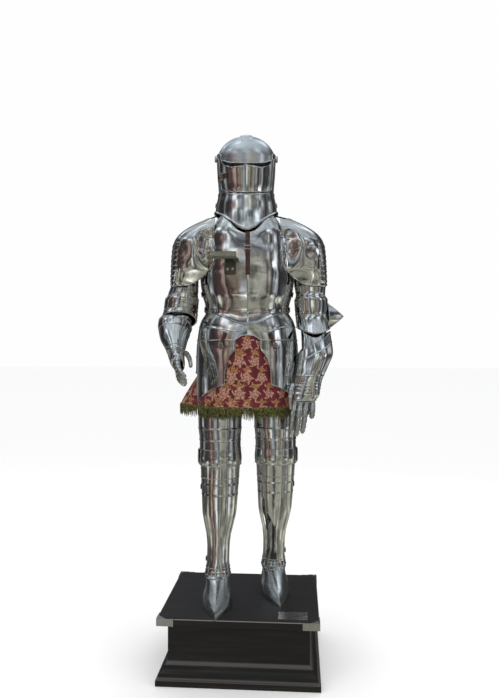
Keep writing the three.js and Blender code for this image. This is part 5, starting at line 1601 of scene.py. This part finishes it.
# %% Shoulder straps and leg leathers
for name, sign, leg_line, arm_rows in SIDES:
    surface = shoulder(sign, DISH[sign])
    on_plate = skin(surface, np.full(12, 90.0), np.linspace(1480, 1456, 12), np.full(12, 0.6), sign)
    inward = np.linspace([HELM_X + sign * 116, on_plate[0, 1], 1492], on_plate[0], 8)[:-1]
    path = np.concatenate([inward, on_plate])
    ahead = unit(np.gradient(path, axis=0))
    normal = unit(np.cross(ahead, np.array([0.0, sign * 1.0, 0])))
    normal *= np.sign(normal[:, 2:])
    strap = ribbon(path, normal, 20, 2.2)
    make(f"shoulder_strap_{name}_leather", strap, "leather", [f"shoulder_strap_{name}"])
    k = len(path) // 2
    place, back = path[k] + normal[k] * 3, np.array([0.0, 1, 0])
    buckles.append(buckle(place, normal[k], ahead[k], back, 26, 15, 1.5))
    leg_z = np.linspace(826, 806, 8)
    on_leg = skin(leg(leg_line), np.full(8, sign * 90.0), leg_z, np.full(8, SEAM + 0.2))
    around = np.full(10, sign * (90 + on_leg[0, 1] / 192 * 57))
    hung = skin(torso, around, np.linspace(1046, 990, 10), -np.linspace(7, 14, 10))
    free = between(hung[-1], on_leg[0], np.linspace(0, 1, 12)[1:-1, None])
    path = np.concatenate([hung, free, on_leg])
    out = np.tile([sign * 1.0, 0.0, 0.0], (len(path), 1))
    strap = ribbon(path, out, 20, LEATHER)
    make(f"leg_leather_{name}_leather", strap, "leather", [f"leg_leather_{name}"])

# %% Tasset, side and greave straps
small_straps = []
for sign in (-1, 1):
    at = np.linspace(1024, 966, 30)
    over_edge = 2.6 + 1.6 * smooth(0, 8, np.abs(at - 1000) - 3)
    small_straps.append(strap_on(torso, np.linspace(23.5, 29, 30) * sign, at, 12, over_edge))
    point, normal, down, across = seat(torso, sign * 28.0, 978.0, 6.2)
    buckles.append(buckle(point, normal, down, across, 18, 15, 1.4))
    for height in (1180, 1120):
        small_straps.append(strap_on(torso, np.linspace(80, 97, 20) * sign, height, 14, 3.0))
        point, normal, down, across = seat(torso, sign * 90.0, height, 6.0)
        buckles.append(buckle(point, normal, across, down, 19, 15, 1.3))
for name, sign, leg_line, arm_rows in SIDES:
    surface = leg(leg_line)
    for height in (425, 150):
        small_straps.append(strap_on(surface, np.linspace(80, 124, 24) * sign, height, 12, 0.8))
        point, normal, down, across = seat(surface, sign * 97.0, height, 3.6)
        buckles.append(buckle(point, normal, across, down, 17, 14, 1.2))
make("small_straps_leather", joined(*small_straps), "leather")
for sign in (-1, 1):
    point, normal, down, across = seat(helm, sign * 82.0, 1531.0, 3.0)
    buckles.append(buckle(point, normal, across, down, 16, 13, 1.3))
make("buckles_steel", joined(*buckles), "nickel", sharp=50)

# %% [markdown]
# ## Rivets
# Rivets are the last detail and there are many, so they are one mesh: every head is the same few
# rings of points, moved to its seat and turned to the plate's normal, all heads at once.

# %% Rivets on the body, limbs and helm
heads = []


def rivets(surface, around, at, lift, radius, side=1.0):
    """Rivet heads at angles and heights on a surface. One height serves all the angles."""
    point, normal, down, across = seat(surface, around, at, lift, side)
    heads.append(domes(point.reshape(-1, 3), normal.reshape(-1, 3), radius))


def both(*angles):
    """The same angles on the left and the right."""
    return np.array([*angles, *(-angle for angle in angles)], float)


for sign in (-1, 1):
    rivets(torso, sign * np.array([23.0, 29]), [1028, 961], 1.2, 3.4)
    rivets(torso, sign * np.array([60.0, 96, 126, 150]), [1010, 1006, 1006, 996], 0.6, 2.6)
    rivets(torso, sign * np.array([76.0, 84, 96, 112, 126]), [980, 980, 982, 984, 986], 0.4, 2.4)
    rivets(helm, sign * np.array([82.0, 90, 98]), [1502, 1504, 1504], 1.2, 2.2)
    rivets(helm, sign * np.array([64.0, 70, 76]), [1704, 1709, 1713], 3.9, 2.4)
rivets(helm, np.array([0.0]), 1432, 1.2, 1.8)
for name, sign, leg_line, arm_rows in SIDES:
    surface, limb = leg(leg_line), arm(arm_rows)
    for height in (640, 596, 560, 500, 478, 450, 415, 132, 104):
        rivets(surface, both(80, 100), height, 0.3, 2.0)
    for height in (1120, 1076):
        rivets(limb, both(80, 100), height, 0.8, 2.6)
    rivets(limb, np.linspace(-100, 100, 9), 850, 0.2, 1.8)
    for height in (829, 816, 803, 790):
        rivets(limb, both(60), height, 0.3, 1.6)
    lame_z = np.repeat([1256.0, 1294, 1332, 1370], 3)
    rivets(shoulder(sign, 0), np.array([70.0, 96, 122] * 4), lame_z, 1.4, 1.8, sign)
make("rivets_steel", joined(*heads), "nickel", sharp=60)
heads = []
around = spread((-52, -34, 5), (0, 0, 1), (12, 52, 12))
rivets(helm, around, curve(FACE_FOOT, "z", np.abs(around)) + 7, 3.6, 1.9)
make("visor_rivets_steel", joined(cheek_buckle, *heads), "nickel", body="visor", sharp=60)

# %% [markdown]
# ## Lance rest
# A hinged steel arm sticks out of the right breast, to carry a lance's weight. Its base plate is
# bolted through the breastplate, and the arm is a trough that dips and rises to a lip.

# %% Base plate and arm
REST_LOW, REST_HIGH, REST_INNER, REST_OUTER, REST_HINGE_Z = 1240, 1300, -44, -86, 1306
REST_MIDDLE, BOLT_Z, EAR = (REST_INNER + REST_OUTER) / 2, 1262.0, 9
rest_x, rest_z = np.linspace(REST_OUTER, REST_INNER, 22), np.linspace(REST_HIGH, REST_LOW, 30)
x_grid, z_grid = np.meshgrid(rest_x, rest_z)
corner_cut = np.clip(np.abs(x_grid - REST_MIDDLE) - 15, 0, None)
z_round = z_grid + np.where(z_grid < REST_LOW + 6, corner_cut * 0.9, 0)
angle = torso_angle(x_grid, z_round)
outer = skin(torso, angle, z_round, np.full(z_grid.shape, SEAM + 3))
base = [wall(outer, skin(torso, angle, z_round, np.full(z_grid.shape, SEAM)))]
hinge_y = outer[0, -1, 1] - 6.5


def hinge_line(low_x, high_x):
    """A short path along the axis of the hinge."""
    return np.linspace([low_x, hinge_y, REST_HINGE_Z], [high_x, hinge_y, REST_HINGE_Z], 4)


for low_x, high_x in ((REST_OUTER, REST_OUTER + EAR), (REST_INNER - EAR, REST_INNER)):
    base.append(tube(hinge_line(low_x, high_x), 5, 24))
    ear_x, foot_y = (low_x + high_x) / 2, float(chest(np.array(high_x), np.array(1296.0))[1])
    post = np.array([[ear_x, hinge_y + 1, REST_HINGE_Z - 3.0], [ear_x, foot_y, REST_HIGH - 9.0]])
    base.append(tube(post, 4.4, 20, (1.0, 0, 0)))
bolt_angle = torso_angle(np.array([-74.0, -56.0]), BOLT_Z)
point, normal, down, across = seat(torso, bolt_angle, BOLT_Z, 3.4)
make("lance_rest_bolts", domes(point, normal, 5.5, 0.6), "nickel")
# The base plate takes the darker steel as painted shade for the shadow it lies in.
base_piece = make("lance_rest_base_steel", joined(*base), "satin_painted_shade", ["lance_rest_base"])
bevelled(base_piece, 0.0006, 2, 50)

TROUGH = table("out up", """
    6 1
    14 -6
    28 -9
    42 -6
    52 2
    58 13""")
out_grid, x_grid = np.meshgrid(np.linspace(6, 58, 26), np.linspace(-150, -42, 40))
end = smooth(-150, -132, x_grid)
up_grid = REST_HINGE_Z + curve(TROUGH, "up", out_grid, 2)
y_grid = hinge_y - between(32, out_grid, 0.72 + 0.28 * end)
trough = wall(stack(x_grid, y_grid, up_grid), stack(x_grid, y_grid, up_grid - 3))
barrel = tube(hinge_line(REST_OUTER + EAR + 0.4, REST_INNER - EAR - 0.4), 5, 24)
tongue_path = np.linspace([REST_MIDDLE, hinge_y - 1, REST_HINGE_Z - 0.9],
                          [REST_MIDDLE, hinge_y - 10, REST_HINGE_Z - 1.5], 4)
tongue = tube(tongue_path, 11, 20, flat=0.16)
arm_shape = joined(trough, barrel, tongue)
rest_arm = make("lance_rest_arm_steel", arm_shape, "dull_satin", ["lance_rest_arm"],
                "lance_rest")
bevelled(rest_arm, 0.0005, 2, 50)

# %% [markdown]
# ## Studio
# The floor is plain and pale. Steel needs something to reflect, so the world shows a plain pale
# light to the camera and to matt surfaces, and to glossy rays the same studio with its tall
# soft lights, dark screens and a warm and a cool side.

# %% Floor
FLOOR_HALF, FLOOR_Z = 40, -0.0005
plain = bpy.data.materials.new("floor_paint")
plain.use_nodes = True
shader = plain.node_tree.nodes["Principled BSDF"]
shader.inputs["Base Color"].default_value = (1.0, 1.0, 1.0, 1)
shader.inputs["Roughness"].default_value = 0.9
sheet = bpy.data.meshes.new("floor")
corners = [(x * FLOOR_HALF, y * FLOOR_HALF, FLOOR_Z)
           for x, y in ((-1, -1), (1, -1), (1, 1), (-1, 1))]
sheet.from_pydata(corners, [], [(0, 1, 2, 3)])
floor = bpy.data.objects.new("floor", sheet)
sheet.materials.append(plain)
bpy.context.scene.collection.objects.link(floor)
floor.visible_glossy = False
print("floor:", 2 * FLOOR_HALF, "m wide")

# %% World
AROUND_ROOM = [
    (0.00, (0.03, 0.03, 0.035)), (0.08, (0.05, 0.05, 0.055)), (0.12, (0.24, 0.25, 0.26)),
    (0.16, (0.04, 0.04, 0.045)), (0.22, (0.02, 0.02, 0.02)), (0.255, (0.34, 0.35, 0.36)),
    (0.27, (0.03, 0.03, 0.03)), (0.30, (0.07, 0.05, 0.05)), (0.335, (0.12, 0.07, 0.06)),
    (0.35, (0.66, 0.45, 0.40)), (0.37, (0.72, 0.55, 0.51)), (0.385, (0.05, 0.03, 0.03)),
    (0.405, (0.18, 0.13, 0.10)), (0.425, (0.38, 0.31, 0.23)), (0.445, (0.54, 0.60, 0.66)),
    (0.47, (0.44, 0.50, 0.56)), (0.485, (0.03, 0.03, 0.035)), (0.50, (0.30, 0.30, 0.27)),
    (0.515, (0.70, 0.70, 0.60)), (0.56, (0.60, 0.59, 0.48)), (0.61, (0.76, 0.75, 0.66)),
    (0.635, (0.10, 0.09, 0.08)), (0.655, (0.26, 0.23, 0.22)), (0.675, (0.04, 0.04, 0.045)),
    (0.70, (0.95, 1.00, 1.05)), (0.715, (0.88, 0.93, 0.98)), (0.73, (0.03, 0.03, 0.035)),
    (0.79, (0.12, 0.12, 0.12)), (0.83, (0.42, 0.44, 0.44)), (0.86, (0.03, 0.03, 0.03)),
    (0.94, (0.07, 0.07, 0.07)), (1.00, (0.03, 0.03, 0.035)),
]
world = bpy.data.worlds.new("studio")
world.use_nodes = True
world.node_tree.nodes.clear()
bpy.context.scene.world = world
way = Link(world.node_tree).node("TexCoord", None, None, "Generated")
ripple = way.noise(2.2, 3, 0.55)
parts = way.node("SeparateXYZ", None, {"Vector": way})
ahead, up = parts.output(1), parts.output(2)
turn = parts.math("ARCTAN2", parts, -1.0 * ahead) / (2 * math.pi) + 0.5


def screens(wide, tall, detail):
    """Noise over the turn and the height of a direction, which gives blocks or long streaks."""
    flat = turn.node("CombineXYZ", None, {"X": turn * wide, "Y": up * tall, "Z": 0.0})
    values = {"Vector": flat, "Scale": 1.0, "Detail": detail, "Roughness": 0.55}
    return flat.node("TexNoise", None, values)


streaks, blocks = screens(70, 2.2, 2.5), screens(13, 5.0, 2.0)
bent = turn + (ripple - 0.5) * 0.05 + (blocks - 0.5) * 0.045
room = bent.node("ValToRGB", {"stops": AROUND_ROOM}, {"Fac": bent})
gloom = blocks.fade(0.36, 0.6) * 0.6 + streaks.fade(0.3, 0.7) * 0.6
room = gloom.math("MINIMUM", gloom, 1.0).blend((0.035, 0.034, 0.034), room)
roof = (blocks * 0.6 + ripple * 0.4).fade(0.40, 0.60).blend((0.10, 0.11, 0.125), (0.70, 0.77, 0.83))
roof = (up + (blocks - 0.5) * 0.5).fade(0.55, 0.95).blend(roof, (0.66, 0.73, 0.78))
ceiling = (up + (ripple - 0.5) * 0.3).fade(0.42, 0.64).blend(room, roof)
ground = (0.0 - up + (ripple - 0.5) * 0.4 + (streaks - 0.5) * 0.15).fade(0.14, 0.50)
shapes_low = ripple * 0.3 + blocks * 0.4 + streaks * 0.3
low_tone = shapes_low.fade(0.40, 0.50).blend((0.035, 0.035, 0.035), (0.42, 0.41, 0.34))
low_tone = shapes_low.fade(0.52, 0.62).blend(low_tone, (0.80, 0.79, 0.68))
seen = ground.blend(ceiling, low_tone)
light_path = way.node("LightPath", None, None, "Is Glossy Ray")
tone = light_path.blend((0.99, 0.99, 0.99), seen)
glow = (blocks * 0.5 + ripple * 0.5).fade(0.52, 0.68)
strength = light_path * (glow * 2.1 - 0.08) + 1.0
background = tone.node("Background", None, {"Color": tone, "Strength": strength})
output = world.node_tree.nodes.new("ShaderNodeOutputWorld")
world.node_tree.links.new(background.socket, output.inputs["Surface"])
print("world:", len(world.node_tree.nodes), "nodes")


# %% Soft lights
def softbox(name, place, aim, size, power):
    """A rectangle of light. Its local Z points away from the aim. Steel shows the world's soft
    patches in its place, which have no hard edge."""
    print("light:", name, power, "W")
    lamp = bpy.data.lights.new(name, "AREA")
    lamp.shape, lamp.size, lamp.size_y = "RECTANGLE", *size
    lamp.energy = power
    holder = bpy.data.objects.new(name, lamp)
    holder.location = place
    away = np.array(place, float) - np.array(aim, float)
    tilt = math.atan2(math.hypot(away[0], away[1]), away[2])
    holder.rotation_euler = (tilt, 0, math.atan2(away[0], -away[1]))
    holder.visible_camera = False
    holder.visible_glossy = False
    bpy.context.scene.collection.objects.link(holder)


softbox("key_light", (-2.6, -2.4, 2.9), (0, 0, 1.1), (1.6, 2.2), 17)
softbox("window_light", (0.72, -2.75, 3.35), (0, 0, 1.9), (1.3, 0.8), 8)
softbox("fill_light", (2.8, -1.6, 2.2), (0, 0, 1.1), (1.2, 2.2), 9)
softbox("back_light", (0.8, 2.8, 2.6), (0, 0, 1.2), (1.6, 1.6), 12)

# %% [markdown]
# ## Finish
# The visual model fills the engineering model's box, give or take a few millimetres of rolled
# edge and fold.

# %% Write the sizes and finish
print("triangles:", sum(TRIANGLES.values()), "in", len(TRIANGLES), "pieces; largest",
      max(TRIANGLES, key=TRIANGLES.get), max(TRIANGLES.values()))
